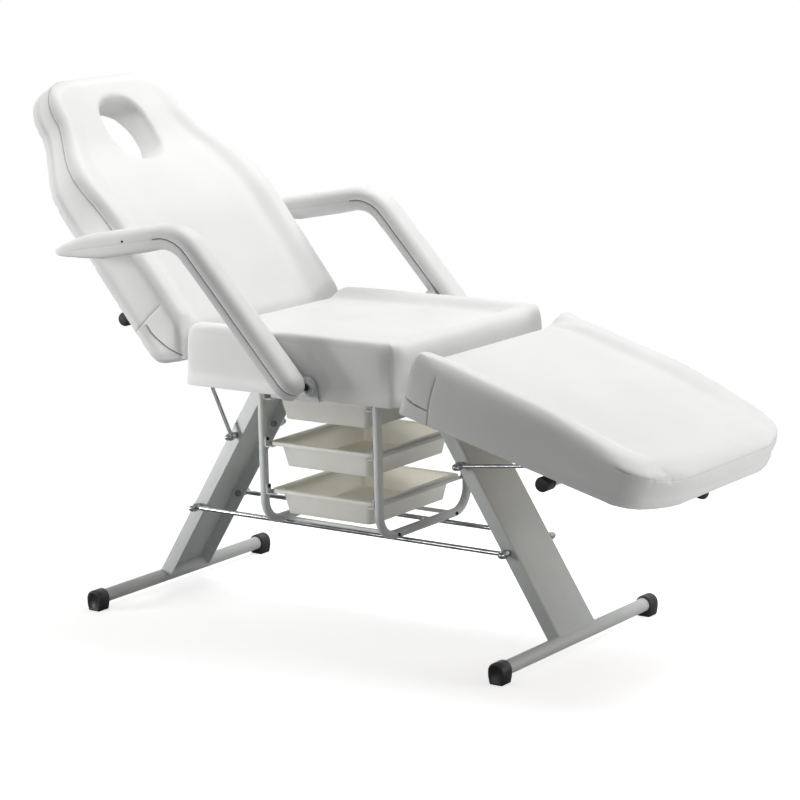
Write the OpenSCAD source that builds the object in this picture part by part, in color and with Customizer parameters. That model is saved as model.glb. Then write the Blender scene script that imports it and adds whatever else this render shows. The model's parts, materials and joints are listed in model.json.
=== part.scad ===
// Portable massage bed: two folded legs on floor tubes carry a seat with a tilting back and leg rest,
// two lifting arms and a rack of three sliding trays. Millimetres, Z up, head end towards -X.

/* [Floor frame] */
// distance of each floor tube from the middle of the bed
tube_x = 520; // [500:1:540]
// radius of the floor tubes
tube_r = 14.5; // [13:0.5:15.5]
// height of the floor tube centres
tube_z = 26; // [24:0.5:28]
// width of the bed over its rubber feet
feet_width = 602; // [560:1:640]
// radius of the rubber feet round the tubes
foot_r = 19; // [18:0.5:20]
// length of a rubber foot along its tube
foot_len = 32; // [28:1:38]
// rubber over the end of a tube
foot_end = 5; // [3:0.5:8]
// width of a rubber foot's flat sole
sole_width = 30; // [24:1:34]

/* [Legs] */
// distance of a leg's outer face from the middle, taken at the floor
leg_x = 550; // [545:1:555]
// how far a leg leans inwards for its height
leg_lean = 0.633; // [0.62:0.001:0.65]
// width of a leg across the bed
leg_width = 139.6; // [130:0.2:145]
// depth of the leg flanges along the bed
leg_depth = 36.5; // [34:0.5:40]
// thickness of the leg sheet
leg_sheet = 3; // [2:0.5:4]
// thickness of the plate on top of a leg
top_plate = 4; // [3:0.5:6]
// spacing of the top plate bolts along the bed
plate_bolt_dx = 18; // [16:1:20]
// spacing of the top plate bolts across the bed
plate_bolt_dy = 96; // [80:1:104]
// radius of the top plate bolts
plate_bolt_r = 3; // [2.5:0.5:4]
// radius of the top plate bolt heads
plate_head_r = 5.5; // [5:0.5:7]
// thickness of the top plate bolt heads
plate_head_t = 4; // [3:0.5:5]

/* [Stretchers and stay bolts] */
// distance of the stretcher bolts from the middle
stretch_x = 403.7; // [400:0.1:406]
// height of the stretcher bolts
stretch_z = 200.2; // [198:0.1:203]
// radius of the stretcher rods
stretch_r = 5; // [4:0.5:5]
// distance of the stay bolts from the middle
stay_x = 295.4; // [293:0.1:298]
// height of the stay bolts
stay_z = 370.7; // [368:0.1:373]
// radius of the stretcher and stay bolts
bolt_r = 4; // [3:0.5:4.5]
// length of the spacer between a leg and a rod eye
spacer_len = 10; // [8:0.5:12]
// radius of those spacers
spacer_r = 7; // [6:0.5:8]
// radius of the eyes on the rod ends
eye_r = 9; // [8:0.5:10]
// thickness of the eyes on the rod ends
eye_t = 10; // [8:0.5:11]
// radius of the domed nuts
nut_r = 7.5; // [7:0.5:9]
// length of a domed nut before its dome
nut_len = 7; // [5:0.5:9]
// length of the bolt heads inside the legs
bolt_head_t = 5; // [4:0.5:6]
// free play round a turning pin
pin_play = 0.06; // [0.02:0.01:0.1]
// gap between faces that turn past each other
face_gap = 0.4; // [0.35:0.05:0.6]

/* [Seat] */
// height of the underside of the seat frame
frame_z = 506; // [504:1:508]
// height of the seat frame rails
rail_h = 20; // [18:0.5:22]
// width of the side rails
rail_w = 30; // [26:1:32]
// distance of the side rails from the middle
rail_y = 160.6; // [158:0.2:163]
// distance of the main cross rails from the middle
cross_x = 212; // [210:1:214]
// width of the main cross rails
cross_w = 40; // [38:1:42]
// width of the two end rails
end_rail_w = 12; // [10:1:14]
// head end of the seat
seat_head_x = -256; // [-256:1:-250]
// foot end of the seat
seat_foot_x = 284.5; // [280:0.5:284.5]
// half width of the seat
seat_half = 289; // [280:1:289]
// thickness of the boards under the cushions
board_t = 12; // [9:1:14]
// how far the boards stop short of the cushions
board_inset = 2; // [1:0.5:4]
// height of the seat over its frame at the side rolls
seat_crest = 149; // [140:1:152]
// height of the seat seam over its frame
seat_seam = 134; // [126:1:138]
// depth of the hollow between the side rolls
seat_dish = 17; // [10:1:22]
// corner radius of the seat
seat_corner = 26; // [22:1:34]
// width of the rolled edge of every cushion
edge_roll = 26; // [20:1:32]

/* [Back rest] */
// lower rear edge of the back rest along the bed
back_x = -331; // [-332:1:-330]
// height of the lower rear edge of the back rest
back_z = 568; // [567:1:569]
// lean of the back rest above level
back_tilt = 51; // [50:1:51]
// length of the back rest
back_len = 682; // [655:1:700]
// thickness of the back rest at the side rolls
back_crest = 105; // [100:1:106]
// thickness of the back rest at its head end
head_crest = 66; // [60:1:72]
// height of the seam on the wide part
back_seam = 94; // [88:1:97]
// height of the seam at the head end
head_seam = 56; // [52:1:59]
// depth of the hollow between the back rest rolls
back_dish = 17; // [10:1:20]
// lower corner radius of the back rest
back_corner = 30; // [24:1:36]
// corner radius at the head end
head_corner = 112; // [100:1:118]
// how far the lower edge bulges towards the seat
back_nose = 43; // [36:1:43]
// reach of that bulge up the back rest
nose_reach = 70; // [60:1:90]
// middle of the face hole, from the head end
hole_end = 153; // [146:1:160]
// half length of the face hole
hole_a = 77; // [70:1:80]
// half width of the face hole
hole_b = 66; // [60:1:70]
// width of the soft lip round the face hole
hole_lip = 12; // [8:1:16]

/* [Leg rest] */
// lower edge of the leg rest along the bed
rest_x = 281; // [280.5:0.5:281.5]
// height of the lower edge of the leg rest
rest_z = 522; // [521.5:0.5:522.5]
// fall of the leg rest below level
rest_tilt = 14.5; // [14:0.5:15]
// start of the leg rest cushion past that edge
rest_start = 6.5; // [6.5:0.5:9]
// end of the leg rest cushion past that edge
rest_end = 605; // [590:1:620]
// how far the leg rest is wider than the seat on each side
rest_wider = 4; // [0:0.5:6]
// thickness of the leg rest at the seat end rolls
rest_crest = 124; // [116:1:128]
// thickness of the leg rest at its foot end
toe_crest = 78; // [70:1:86]
// height of the leg rest seam at the seat end
rest_seam = 104; // [98:1:108]
// height of the leg rest seam at the foot end
toe_seam = 60; // [54:1:66]
// depth of the hollow between the leg rest rolls
rest_dish = 19; // [12:1:22]
// corner radius at the seat end of the leg rest
rest_corner = 20; // [18:1:26]
// how far along the leg rest its foot end corners curve
toe_corner = 100; // [90:1:110]
// how far across the leg rest its foot end corners curve
toe_across = 150; // [135:1:165]
// how far the underside stops short of the foot end
toe_undercut = 15; // [8:1:20]
// length of the undercut along the leg rest
toe_reach = 130; // [110:1:150]

/* [Hinges] */
// back hinge pin along the bed
back_pin_x = -296; // [-296.5:0.5:-295.5]
// height of the back hinge pin
back_pin_z = 547; // [546.5:0.5:547.5]
// leg rest hinge pin along the bed
rest_pin_x = 285; // [284.5:0.5:285.5]
// height of the leg rest hinge pin
rest_pin_z = 512; // [511.5:0.5:512]
// radius of the hinge pins
pin_r = 4; // [3:0.5:4.5]
// radius of the hinge eyes
hinge_r = 8; // [7:0.25:8]
// thickness of the plate in the middle of a hinge
knuckle_t = 6; // [5:0.5:8]
// thickness of the ears each side of it
ear_t = 5; // [4:0.5:6]
// length of the hinge plates under the rails
hinge_len = 70; // [60:1:90]
// depth of the hinge plates under the rails
hinge_drop = 6; // [5:0.5:7]
// thickness of the heads on the hinge pins
pin_head_t = 3; // [2:0.5:4]

/* [Frames under the back and leg rest] */
// thickness of the flat rails under the boards
strap_t = 8; // [6:0.5:9]
// width of those rails
strap_w = 30; // [24:1:32]
// start of the back rails
back_strap_start = 14; // [14:1:20]
// end of the back rails
back_strap_end = 470; // [430:1:490]
// first cross rail of the back, from the start of the rails
back_cross_in = 26; // [20:1:40]
// second cross rail of the back, from the start of the rails
back_cross_middle = 336; // [300:1:370]
// third cross rail of the back, from the end of the rails
back_cross_out = 20; // [16:1:30]
// start of the leg rest rails
rest_strap_start = 32; // [32:1:40]
// end of the leg rest rails
rest_strap_end = 570; // [540:1:580]
// first cross rail of the leg rest, from the start of the rails
rest_cross_in = 28; // [20:1:40]
// second cross rail of the leg rest, from the start of the rails
rest_cross_middle = 418; // [395:1:440]
// third cross rail of the leg rest, with the buffer under it, from the end of the rails
rest_cross_out = 17; // [15:1:24]
// radius of the buffer under the leg rest
buffer_r = 14.5; // [12:0.5:15]
// lowest point of the buffer under the board
buffer_drop = 36; // [30:1:40]

/* [Props] */
// prop bar of the back, distance from the lower edge
back_bar_u = 118; // [116:1:120]
// drop of the back prop bar from the board
back_bar_n = 24; // [23.5:0.5:26]
// turn of the back prop for each turn of the back
back_prop_ratio = 0.738; // [0.73:0.002:0.746]
// prop bar of the leg rest, distance from its lower edge
rest_bar_v = 350; // [346:1:354]
// drop of the leg rest prop bar from the board
rest_bar_m = 28; // [27:0.5:30]
// turn of the leg prop for each turn of the leg rest
rest_prop_ratio = 1.14; // [1.12:0.01:1.15]
// radius of the prop bars
bar_r = 11; // [10:0.5:11.5]
// half length of the prop bars over their grips
bar_half = 275; // [260:1:285]
// length of a grip
grip_len = 34; // [28:1:44]
// thickness of grip rubber round a bar
grip_t = 4; // [3:0.5:5]
// rubber over the end of a bar
grip_end = 4; // [3:0.5:6]
// radius of the stays
stay_r = 4; // [3.5:0.25:5]
// distance of the notched racks from the middle
rack_y = 112; // [104:1:120]
// thickness of the notched racks
rack_t = 4; // [3:0.5:5]
// width of the flange that holds a rack to its board
rack_foot_w = 22; // [16:1:28]
// thickness of that flange
rack_foot_t = 3; // [2:0.5:4]
// gap kept over a passing prop bar
rack_gap = 0.8; // [0.5:0.1:1.2]
// depth of the notches
notch_depth = 3.5; // [3:0.5:4]
// lowest lean of the back rest
back_low = 0; // [0:1:5]
// steepest fall of the leg rest
rest_low = 30; // [26:1:30]

/* [Tray rack] */
// distance of the bent tubes from the middle
bend_x = 148.5; // [147:0.5:150]
// radius of the bent tubes
bend_tube_r = 9.5; // [8.5:0.5:9.5]
// distance of the upright parts from the middle
bend_y = 160.6; // [158:0.2:163]
// height of the bottom run of the bent tubes
bend_z = 215; // [215:0.5:218]
// radius of the bends
bend_r = 50; // [44:1:56]
// size of the plates on top of the tubes
foot_plate = 28; // [24:1:30]
// thickness of those plates
foot_plate_t = 2.5; // [2:0.5:3]
// distance of the rack's cross bars from the middle
rack_bar_y = 106; // [104:1:108]
// radius of the rack's cross bars
rack_bar_r = 4.5; // [4:0.5:5]
// radius of the screws in the rack
screw_r = 4; // [3.5:0.25:4]
// thickness of the screw heads in the rack
screw_t = 3.5; // [3:0.5:4]
// height of the lowest tray's rim
tray_rim_z = 289; // [287:1:291]
// distance from one tray rim to the next
tray_pitch = 102; // [100:1:103]
// half length of a tray rim along the bed
tray_half_x = 136; // [134:0.5:136]
// half length of a tray rim across the bed
tray_half_y = 160; // [154:1:164]
// depth of a tray
tray_depth = 54; // [48:1:56]
// half length of a tray body along the bed under its rim
tray_body_x = 119; // [116:1:120]
// half length of a tray body across the bed under its rim
tray_body_y = 147; // [143:1:148]
// how far the tray ends slope in towards the bottom
tray_draft = 9; // [5:0.5:11]
// thickness of the tray walls
tray_wall = 2.5; // [2:0.25:3]
// depth of the lip round a tray rim
tray_lip = 8; // [6:0.5:9]
// corner radius of a tray
tray_corner = 16; // [12:1:20]
// gap between a tray body and its runners
runner_gap = 1.6; // [1.2:0.2:1.6]
// thickness of the runner strips
runner_t = 2; // [1.5:0.25:2]
// height of the runner strips beside the rim
runner_h = 7; // [6:0.5:9]
// height of the runner screws over the tray rim
runner_screw_z = 6; // [5.5:0.25:6]
// height of the runner tabs over the tray rim
runner_tab_z = 10; // [9.5:0.25:10]
// width of the runner tabs
runner_tab_w = 14; // [12:1:16]

/* [Arms] */
// gap across between the seat and an arm
arm_out = 14; // [12:0.5:18]
// half width of the arm boards
arm_half = 35; // [33:1:35]
// thickness of the arm boards
arm_board = 18; // [15:0.5:20]
// height of the arm pads over the boards
arm_pad = 29; // [24:1:32]
// bend of an arm along the bed
arm_bend_x = -200; // [-204:1:-196]
// height of an arm's bend
arm_bend_z = 846.5; // [842:0.5:850]
// radius of an arm's bend
arm_bend_r = 85; // [75:1:95]
// rise of an arm's upper part
arm_rise = 9.4; // [8:0.2:11]
// fall of an arm's lower part
arm_fall = 47.5; // [46:0.5:49]
// length of an arm's upper part to its bend
arm_upper = 342; // [320:1:350]
// length of an arm's lower part from its bend
arm_lower = 418; // [410:1:424]
// arm pivot along the bed
arm_pin_x = 73; // [71:1:75]
// height of the arm pivot
arm_pin_z = 551; // [550:1:553]
// radius of the round plates at the arm pivot
arm_plate_r = 20.5; // [19:0.5:22]
// thickness of the arm plates
arm_plate_t = 4; // [3.5:0.25:4]
// gap between the seat and an arm mount
arm_mount_gap = 1.5; // [1:0.25:1.5]
// radius of the arm pivot bolts
arm_bolt_r = 5; // [4:0.5:6]
// radius of the arm bolt heads
arm_head_r = 8; // [7:0.5:10]
// length of the bracket along an arm
arm_bracket_len = 150; // [130:5:170]
// width of the bracket under an arm
arm_bracket_w = 30; // [24:1:40]
// width of the strap from the frame to an arm mount
arm_strap_w = 60; // [50:1:66]
// thickness of that strap
arm_strap_t = 5; // [4:0.5:6]
// radius of the stop under an arm
arm_stop_r = 5; // [4:0.5:6]
// distance of the stop from the arm pivot
arm_stop_s = 32; // [30:1:36]

/* [Hidden] */
$fn = 64;
quarter = 90;
half_turn = 180;
overrun = 1;
weld_gap = 0.05;
tuck_share = 0.85;
buffer_share = 0.8;
steel = [0.86, 0.87, 0.88];
chrome = [0.75, 0.76, 0.78];
rubber = [0.06, 0.06, 0.06];
vinyl = [0.96, 0.96, 0.96];
ply = [0.72, 0.58, 0.42];
tray_plastic = [0.88, 0.87, 0.83];
spacer_y = leg_width/2;
eye_y = spacer_y + spacer_len;
nut_y = eye_y + eye_t + face_gap;
frame_top = frame_z + rail_h;
rail_half = rail_w/2;
rail_in = rail_y - rail_half;
rail_head_x = seat_head_x + board_inset;
rail_foot_x = rest_pin_x - hinge_r - overrun;
web_dx = leg_sheet/cos(atan(leg_lean));

// Shift that puts the origin under the middle of the whole bed
module placed() translate([-mid_x, 0, 0]) children();
// Flat shape drawn in the X-Z plane and given a thickness from y0 to y1
module slab(y0, y1) {
  translate([0, y1, 0]) rotate([quarter, 0, 0]) linear_extrude(y1 - y0) children();
}
module block(x0, x1, y0, y1, z0, z1) {
  translate([x0, y0, z0]) cube([x1 - x0, y1 - y0, z1 - z0]);
}
module rod_y(x, z, r, y0, y1) {
  translate([x, y1, z]) rotate([quarter, 0, 0]) cylinder(r = r, h = y1 - y0);
}
module rod_x(y, z, r, x0, x1) {
  translate([x0, y, z]) rotate([0, quarter, 0]) cylinder(r = r, h = x1 - x0);
}
module both_sides() {
  children();
  mirror([0, 1, 0]) children();
}
module both_ends() {
  children();
  mirror([1, 0, 0]) children();
}
function turned(p, a) = [p.x*cos(a) - p.y*sin(a), p.x*sin(a) + p.y*cos(a)];
function away(a, b) = (b - a)/norm(b - a);
function square_to(a, b) = [-away(a, b).y, away(a, b).x];
// Plain link between two round ends
module link(a, ra, b, rb) {
  side = tuck_share*square_to(a, b);
  polygon([a + ra*side, b + rb*side, b - rb*side, a - ra*side]);
  translate(a) circle(r = ra);
  translate(b) circle(r = rb);
}

// Frames of the back rest and the leg rest: x runs away from the seat, z out of the board
module on_back() {
  translate([back_x, 0, back_z]) rotate([0, back_tilt, 0]) rotate([0, 0, half_turn]) children();
}
module on_rest() {
  translate([rest_x, 0, rest_z]) rotate([0, rest_tilt, 0]) children();
}
function back_uv(p) = [-(p.x - back_x)*cos(back_tilt) + (p.y - back_z)*sin(back_tilt),
  (p.x - back_x)*sin(back_tilt) + (p.y - back_z)*cos(back_tilt)];
function back_xz(p) = [back_x - p.x*cos(back_tilt) + p.y*sin(back_tilt),
  back_z + p.x*sin(back_tilt) + p.y*cos(back_tilt)];
function rest_uv(p) = [(p.x - rest_x)*cos(rest_tilt) - (p.y - rest_z)*sin(rest_tilt),
  (p.x - rest_x)*sin(rest_tilt) + (p.y - rest_z)*cos(rest_tilt)];
function rest_xz(p) = [rest_x + p.x*cos(rest_tilt) + p.y*sin(rest_tilt),
  rest_z - p.x*sin(rest_tilt) + p.y*cos(rest_tilt)];
hole_u = back_len - hole_end;
buffer_v = rest_strap_end - rest_cross_out;
back_pin = [back_pin_x, back_pin_z];
rest_pin = [rest_pin_x, rest_pin_z];
head_stay = [-stay_x, stay_z];
foot_stay = [stay_x, stay_z];
back_bar = back_xz([back_bar_u, -back_bar_n]);
rest_bar = rest_xz([rest_bar_v, -rest_bar_m]);
// Where a prop bar lies under its board when the board stands at lean a
function back_bar_at(a) = back_uv(back_pin + turned(head_stay
  + turned(back_bar - head_stay, back_prop_ratio*(back_tilt - a)) - back_pin, a - back_tilt));
function rest_bar_at(a) = rest_uv(rest_pin + turned(foot_stay
  + turned(rest_bar - foot_stay, rest_prop_ratio*(rest_tilt - a)) - rest_pin, a - rest_tilt));

// Skin over rings of points, every ring anticlockwise seen from the side the rings run to
module skin(rings, closed = false) {
  n = len(rings[0]);
  m = len(rings);
  pts = concat([for (r = rings) each r], closed ? [] : [ring_mid(rings[0]), ring_mid(rings[m-1])]);
  sides = [for (k = [0:(closed ? m-1 : m-2)]) for (i = [0:n-1])
    let (j = (i+1)%n, p = k*n, q = ((k+1)%m)*n)
    each [[p+i, q+i, q+j], [p+i, q+j, p+j]]];
  caps = closed ? [] : concat([for (i = [0:n-1]) [m*n, i, (i+1)%n]],
    [for (i = [0:n-1]) [m*n+1, (m-1)*n+(i+1)%n, (m-1)*n+i]]);
  polyhedron(points = pts, faces = concat(sides, caps), convexity = 6);
}
function ring_mid(r) = [for (k = [0:2]) (min([for (p = r) p[k]]) + max([for (p = r) p[k]]))/2];

module leg() {
  z1 = frame_z;
  difference() {
    union() {
      slab(-leg_width/2, leg_width/2) polygon([
        [leg_x - leg_lean*tube_z, tube_z], [leg_x - leg_lean*z1, z1],
        [leg_x - leg_lean*z1 - web_dx, z1], [leg_x - leg_lean*tube_z - web_dx, tube_z]]);
      both_sides() slab(leg_width/2 - leg_sheet, leg_width/2) polygon([
        [leg_x - leg_lean*tube_z, tube_z], [leg_x - leg_lean*z1, z1],
        [leg_x - leg_lean*z1 - leg_depth, z1], [leg_x - leg_lean*tube_z - leg_depth, tube_z]]);
      slab(-leg_width/2, leg_width/2) polygon([
        [leg_x - leg_lean*z1 - leg_depth, z1], [leg_x - leg_lean*z1, z1],
        [leg_x - leg_lean*(z1 - top_plate), z1 - top_plate],
        [leg_x - leg_lean*(z1 - top_plate) - leg_depth, z1 - top_plate]]);
    }
    rod_y(tube_x, tube_z, tube_r + weld_gap, -leg_width, leg_width);
    rod_y(stretch_x, stretch_z, bolt_r + pin_play, -leg_width, leg_width);
    rod_y(stay_x, stay_z, bolt_r + pin_play, -leg_width, leg_width);
    plate_bolt_spots() translate([0, 0, -top_plate*2])
      cylinder(r = plate_bolt_r + pin_play, h = top_plate*3);
  }
}
module plate_bolt_spots() {
  for (dx = [-plate_bolt_dx/2, plate_bolt_dx/2]) for (dy = [-plate_bolt_dy/2, plate_bolt_dy/2])
    translate([cross_x + dx, dy, frame_z]) children();
}
module floor_tube() {
  rod_y(tube_x, tube_z, tube_r, foot_end - feet_width/2, feet_width/2 - foot_end);
}
module floor_foot() {
  difference() {
    union() {
      rod_y(tube_x, tube_z, foot_r, feet_width/2 - foot_len, feet_width/2);
      block(tube_x - sole_width/2, tube_x + sole_width/2, feet_width/2 - foot_len, feet_width/2,
        0, tube_z);
    }
    rod_y(tube_x, tube_z, tube_r + weld_gap, feet_width/2 - foot_len - overrun,
      feet_width/2 - foot_end);
  }
}
module stretcher() {
  y = eye_y + eye_t/2;
  difference() {
    union() {
      rod_x(y, stretch_z, stretch_r, -stretch_x, stretch_x);
      both_ends() rod_y(stretch_x, stretch_z, eye_r, eye_y, eye_y + eye_t);
    }
    both_ends() rod_y(stretch_x, stretch_z, bolt_r + pin_play, eye_y - overrun, nut_y);
  }
}
// Bolt through a leg flange, with its head inside, its spacer outside and a thread for the nut
module cross_bolt(x, z) {
  rod_y(x, z, bolt_r, spacer_y - leg_sheet - bolt_head_t, nut_y + nut_len);
  rod_y(x, z, spacer_r, spacer_y - leg_sheet - bolt_head_t, spacer_y - leg_sheet);
  rod_y(x, z, spacer_r, spacer_y, eye_y - face_gap);
}
module dome_nut(x, z) {
  difference() {
    union() {
      rod_y(x, z, nut_r, nut_y, nut_y + nut_len);
      translate([x, nut_y + nut_len, z]) sphere(r = nut_r);
    }
    rod_y(x, z, bolt_r + weld_gap, nut_y - overrun, nut_y + nut_len + weld_gap);
    rod_y(x, z, nut_r*2, nut_y - nut_r*2, nut_y);
  }
}
module side_rail() {
  block(rail_head_x, rail_foot_x, rail_in, rail_in + rail_w, frame_z, frame_top);
}
module cross_rail() {
  difference() {
    block(cross_x - cross_w/2, cross_x + cross_w/2, -rail_in, rail_in, frame_z, frame_top);
    plate_bolt_spots() cylinder(r = plate_bolt_r + pin_play, h = rail_h);
  }
}
module plate_bolt() {
  translate([0, 0, -top_plate - plate_head_t]) cylinder(r = plate_head_r, h = plate_head_t, $fn = 6);
  translate([0, 0, -top_plate]) cylinder(r = plate_bolt_r, h = top_plate + rail_h - overrun);
}

// Cushions
function rounded_end(x0, w, along, across, steps, dir) = [for (k = [0:steps])
  [x0 + dir*along*(1 - cos(k*quarter/steps)), w - across + across*sin(k*quarter/steps)]];
function closed_plan(h, x0, x1) = concat([[x0, 0]], [for (p = h) [p.x, -p.y]], [[x1, 0]],
  [for (k = [len(h)-1:-1:0]) h[k]]);
function outward(c, i) = let (n = len(c), a = c[(i+n-1)%n], b = c[(i+1)%n])
  [b.y - a.y, a.x - b.x]/norm(b - a);
function inset(c, d) = [for (i = [0:len(c)-1]) c[i] - d*outward(c, i)];
function mixed(a, b, t) = a + (b - a)*t;
edge_shares = [0.3, 0.6, 0.85];
side_shares = [0.12, 0.3, 0.5, 0.7, 0.88];
corner_cuts = 3;
head_cuts = 4;
// Each row: share of the rolled edge's width, of the side height and of the crown
roll_shares = [[0.056, 0, 0], [0.017, 0.12, 0], [0, 0.5, 0], [0.042, 0.9, 0], [0.11, 1, 0],
  [0.14, 1, 0.25], [0.44, 1, 0.75], [1, 1, 1]];

function box_half(x0, x1, w, ra, rb, rw) = concat([for (s = edge_shares) [x0, s*(w - ra)]],
  rounded_end(x0, w, ra, ra, corner_cuts, 1),
  [for (s = side_shares) [mixed(x0 + ra, x1 - rb, s), w]],
  [for (k = [corner_cuts:-1:0]) rounded_end(x1, w, rb, rw, corner_cuts, -1)[k]],
  [for (k = [len(edge_shares)-1:-1:0]) [x1, edge_shares[k]*(w - rw)]]);

seat_plan = closed_plan(box_half(seat_head_x, seat_foot_x, seat_half, seat_corner, seat_corner,
  seat_corner), seat_head_x, seat_foot_x);
dish_shares = [[0.25, 0.55], [0.5, 1], [0.8, 1]];
function mid_line(p, x0, x1, w) = [min(max(p.x, x0 + w/2), x1 - w/2), 0];
module seat_pad() {
  crown = seat_crest - seat_seam;
  base = rail_h + board_t;
  low = [for (r = roll_shares) [for (p = inset(seat_plan, r[0]*edge_roll)) [p.x, p.y,
    frame_z + base + (seat_seam - base)*r[1] + crown*r[2]]]];
  rim = inset(seat_plan, edge_roll);
  mid = [for (r = dish_shares) [for (p = rim) let (q = mixed(p, mid_line(p, seat_head_x,
    seat_foot_x, seat_half), r[0])) [q.x, q.y, frame_z + seat_crest - seat_dish*r[1]]]];
  skin(concat(low, mid));
}
back_half = seat_half;
back_side_shares = [[0.12, 1.003], [0.24, 1.008], [0.36, 1.014], [0.46, 1.022], [0.53, 1.025],
  [0.58, 1.015], [0.617, 0.995], [0.66, 0.953], [0.704, 0.889], [0.748, 0.824], [0.792, 0.765],
  [0.825, 0.734]];
head_half = back_half*back_side_shares[11][1];
back_half_plan = concat([for (s = edge_shares) [0, s*(back_half - back_corner)]],
  rounded_end(0, back_half, back_corner, back_corner, corner_cuts, 1),
  [for (s = back_side_shares) [s[0]*back_len, s[1]*back_half]],
  [for (k = [head_cuts-1:-1:0]) [back_len - head_corner*(1 - cos(k*quarter/head_cuts)),
    head_half - head_corner + head_corner*sin(k*quarter/head_cuts)]],
  [[back_len, (head_half - head_corner)*edge_shares[1]]]);
back_plan = closed_plan(back_half_plan, 0, back_len);
taper_shares = [[0, 1], [0.45, 1], [0.56, 0.66], [0.64, 0.36], [0.72, 0], [1, 0]];
function back_taper(u) = lookup(u/back_len, taper_shares);
nose_shares = [[0.11, 0.46], [0.17, 0.62], [0.3, 0.85], [0.48, 1], [0.56, 1], [0.76, 0.4],
  [0.88, 0.02], [1, -0.34]];
function nosed(p, t) = [p.x - back_nose*lookup(t, nose_shares)*max(0, 1 - max(0, p.x)/nose_reach),
  p.y];
function hole_at(p, d) = let (a = atan2(p.y, p.x - hole_u), ra = hole_a + d, rb = hole_b + d,
  r = ra*rb/sqrt((rb*cos(a))^2 + (ra*sin(a))^2)) [hole_u + r*cos(a), r*sin(a)];
function back_height(u, side, crown) = let (t = back_taper(u),
  seam = mixed(head_seam, back_seam, t), crest = mixed(head_crest, back_crest, t))
  board_t + (seam - board_t)*side + (crest - seam)*crown;
// Each row: share of the lip round the hole, and how far it dips as a share of the dish
hole_shares = [[1, 0.95], [0.35, 1.4], [0, 2]];
face_shares = [0.3, 0.65];
module back_pad() {
  low = [for (r = roll_shares) [for (p = inset(back_plan, r[0]*edge_roll))
    let (h = back_height(p.x, r[1], r[2]), q = nosed(p, h/back_crest)) [q.x, q.y, h]]];
  rim = inset(back_plan, edge_roll);
  mid = [for (s = face_shares) [for (i = [0:len(rim)-1])
    let (q = mixed(nosed(rim[i], 1), hole_at(back_plan[i], hole_lip), s))
    [q.x, q.y, back_height(q.x, 1, 1) - back_dish]]];
  lip = [for (r = hole_shares) [for (p = back_plan) let (q = hole_at(p, hole_lip*r[0]))
    [q.x, q.y, back_height(q.x, 1, 1) - back_dish*r[1]]]];
  wall = [[for (p = back_plan) let (q = hole_at(p, 0)) [q.x, q.y, board_t]]];
  skin(concat(low, mid, lip, wall), true);
}
rest_half = seat_half + rest_wider;
rest_plan = closed_plan(box_half(rest_start, rest_end, rest_half, rest_corner, toe_corner,
  toe_across), rest_start, rest_end);
toe_shares = [[0, 1], [0.5, 0.9], [0.58, 0.77], [0.66, 0.61], [0.78, 0.39], [0.84, 0.27], [1, 0]];
function rest_height(v, side, crown) = let (t = lookup(v/rest_end, toe_shares),
  seam = mixed(toe_seam, rest_seam, t), crest = mixed(toe_crest, rest_crest, t))
  board_t + (seam - board_t)*side + (crest - seam)*crown;
function toed(p, side) = [p.x - toe_undercut*(1 - side)*max(0, (p.x - rest_end + toe_reach)/toe_reach),
  p.y];
module rest_pad() {
  low = [for (r = roll_shares) [for (p = inset(rest_plan, r[0]*edge_roll)) let (q = toed(p, r[1]))
    [q.x, q.y, rest_height(p.x, r[1], r[2])]]];
  rim = inset(rest_plan, edge_roll);
  mid = [for (r = dish_shares) [for (p = rim) let (q = mixed(p, mid_line(p, rest_start, rest_end,
    rest_half), r[0])) [q.x, q.y, rest_height(q.x, 1, 1) - rest_dish*r[1]]]];
  skin(concat(low, mid));
}
module board_of(plan) {
  linear_extrude(board_t) polygon(inset(plan, board_inset));
}

toe_x = max([for (r = roll_shares) for (p = inset(rest_plan, r[0]*edge_roll))
  rest_xz([toed(p, r[1]).x, rest_height(p.x, r[1], r[2])]).x]);
head_x = min([for (p = inset(back_plan, board_inset)) back_xz([p.x, 0]).x]);
mid_x = (toe_x + head_x)/2;

// Racks under the boards, their lower edge just over the path of the prop bar
module rack_plate(path, stops) {
  lift = [0, bar_r + rack_gap];
  n = len(path);
  difference() {
    polygon(concat([[path[0].x - bar_r, 0]],
      [[path[0].x - bar_r, path[0].y + lift.y]], [for (p = path) p + lift],
      [[path[n-1].x + bar_r, path[n-1].y + lift.y]], [[path[n-1].x + bar_r, 0]]));
    for (p = stops) translate(p + [0, rack_gap + notch_depth]) circle(r = bar_r);
  }
}
module rack(path, stops) {
  both_sides() {
    slab(rack_y - rack_t/2, rack_y + rack_t/2) rack_plate(path, stops);
    block(path[0].x - bar_r, path[len(path)-1].x + bar_r, rack_y + rack_t/2,
      rack_y + rack_foot_w, -rack_foot_t, 0);
  }
}
path_steps = 12;
notch_steps = 5;
back_path = [for (k = [0:path_steps]) back_bar_at(mixed(back_tilt, back_low, k/path_steps))];
back_stops = [for (k = [0:notch_steps]) back_bar_at(mixed(back_tilt, back_low, k/notch_steps))];
rest_path = [for (k = [0:path_steps]) rest_bar_at(mixed(0, rest_low, k/path_steps))];
rest_leans = [0, rest_tilt/2, rest_tilt, (rest_tilt + rest_low)/2, rest_low];
rest_stops = [for (a = rest_leans) rest_bar_at(a)];

module straps(v0, v1) {
  both_sides() block(v0, v1, rail_y - strap_w/2, rail_y + strap_w/2, -strap_t, 0);
}
module cross_straps(spots) {
  for (v = spots) block(v - strap_w/2, v + strap_w/2, -rail_y + strap_w/2, rail_y - strap_w/2,
    -strap_t, 0);
}
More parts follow.
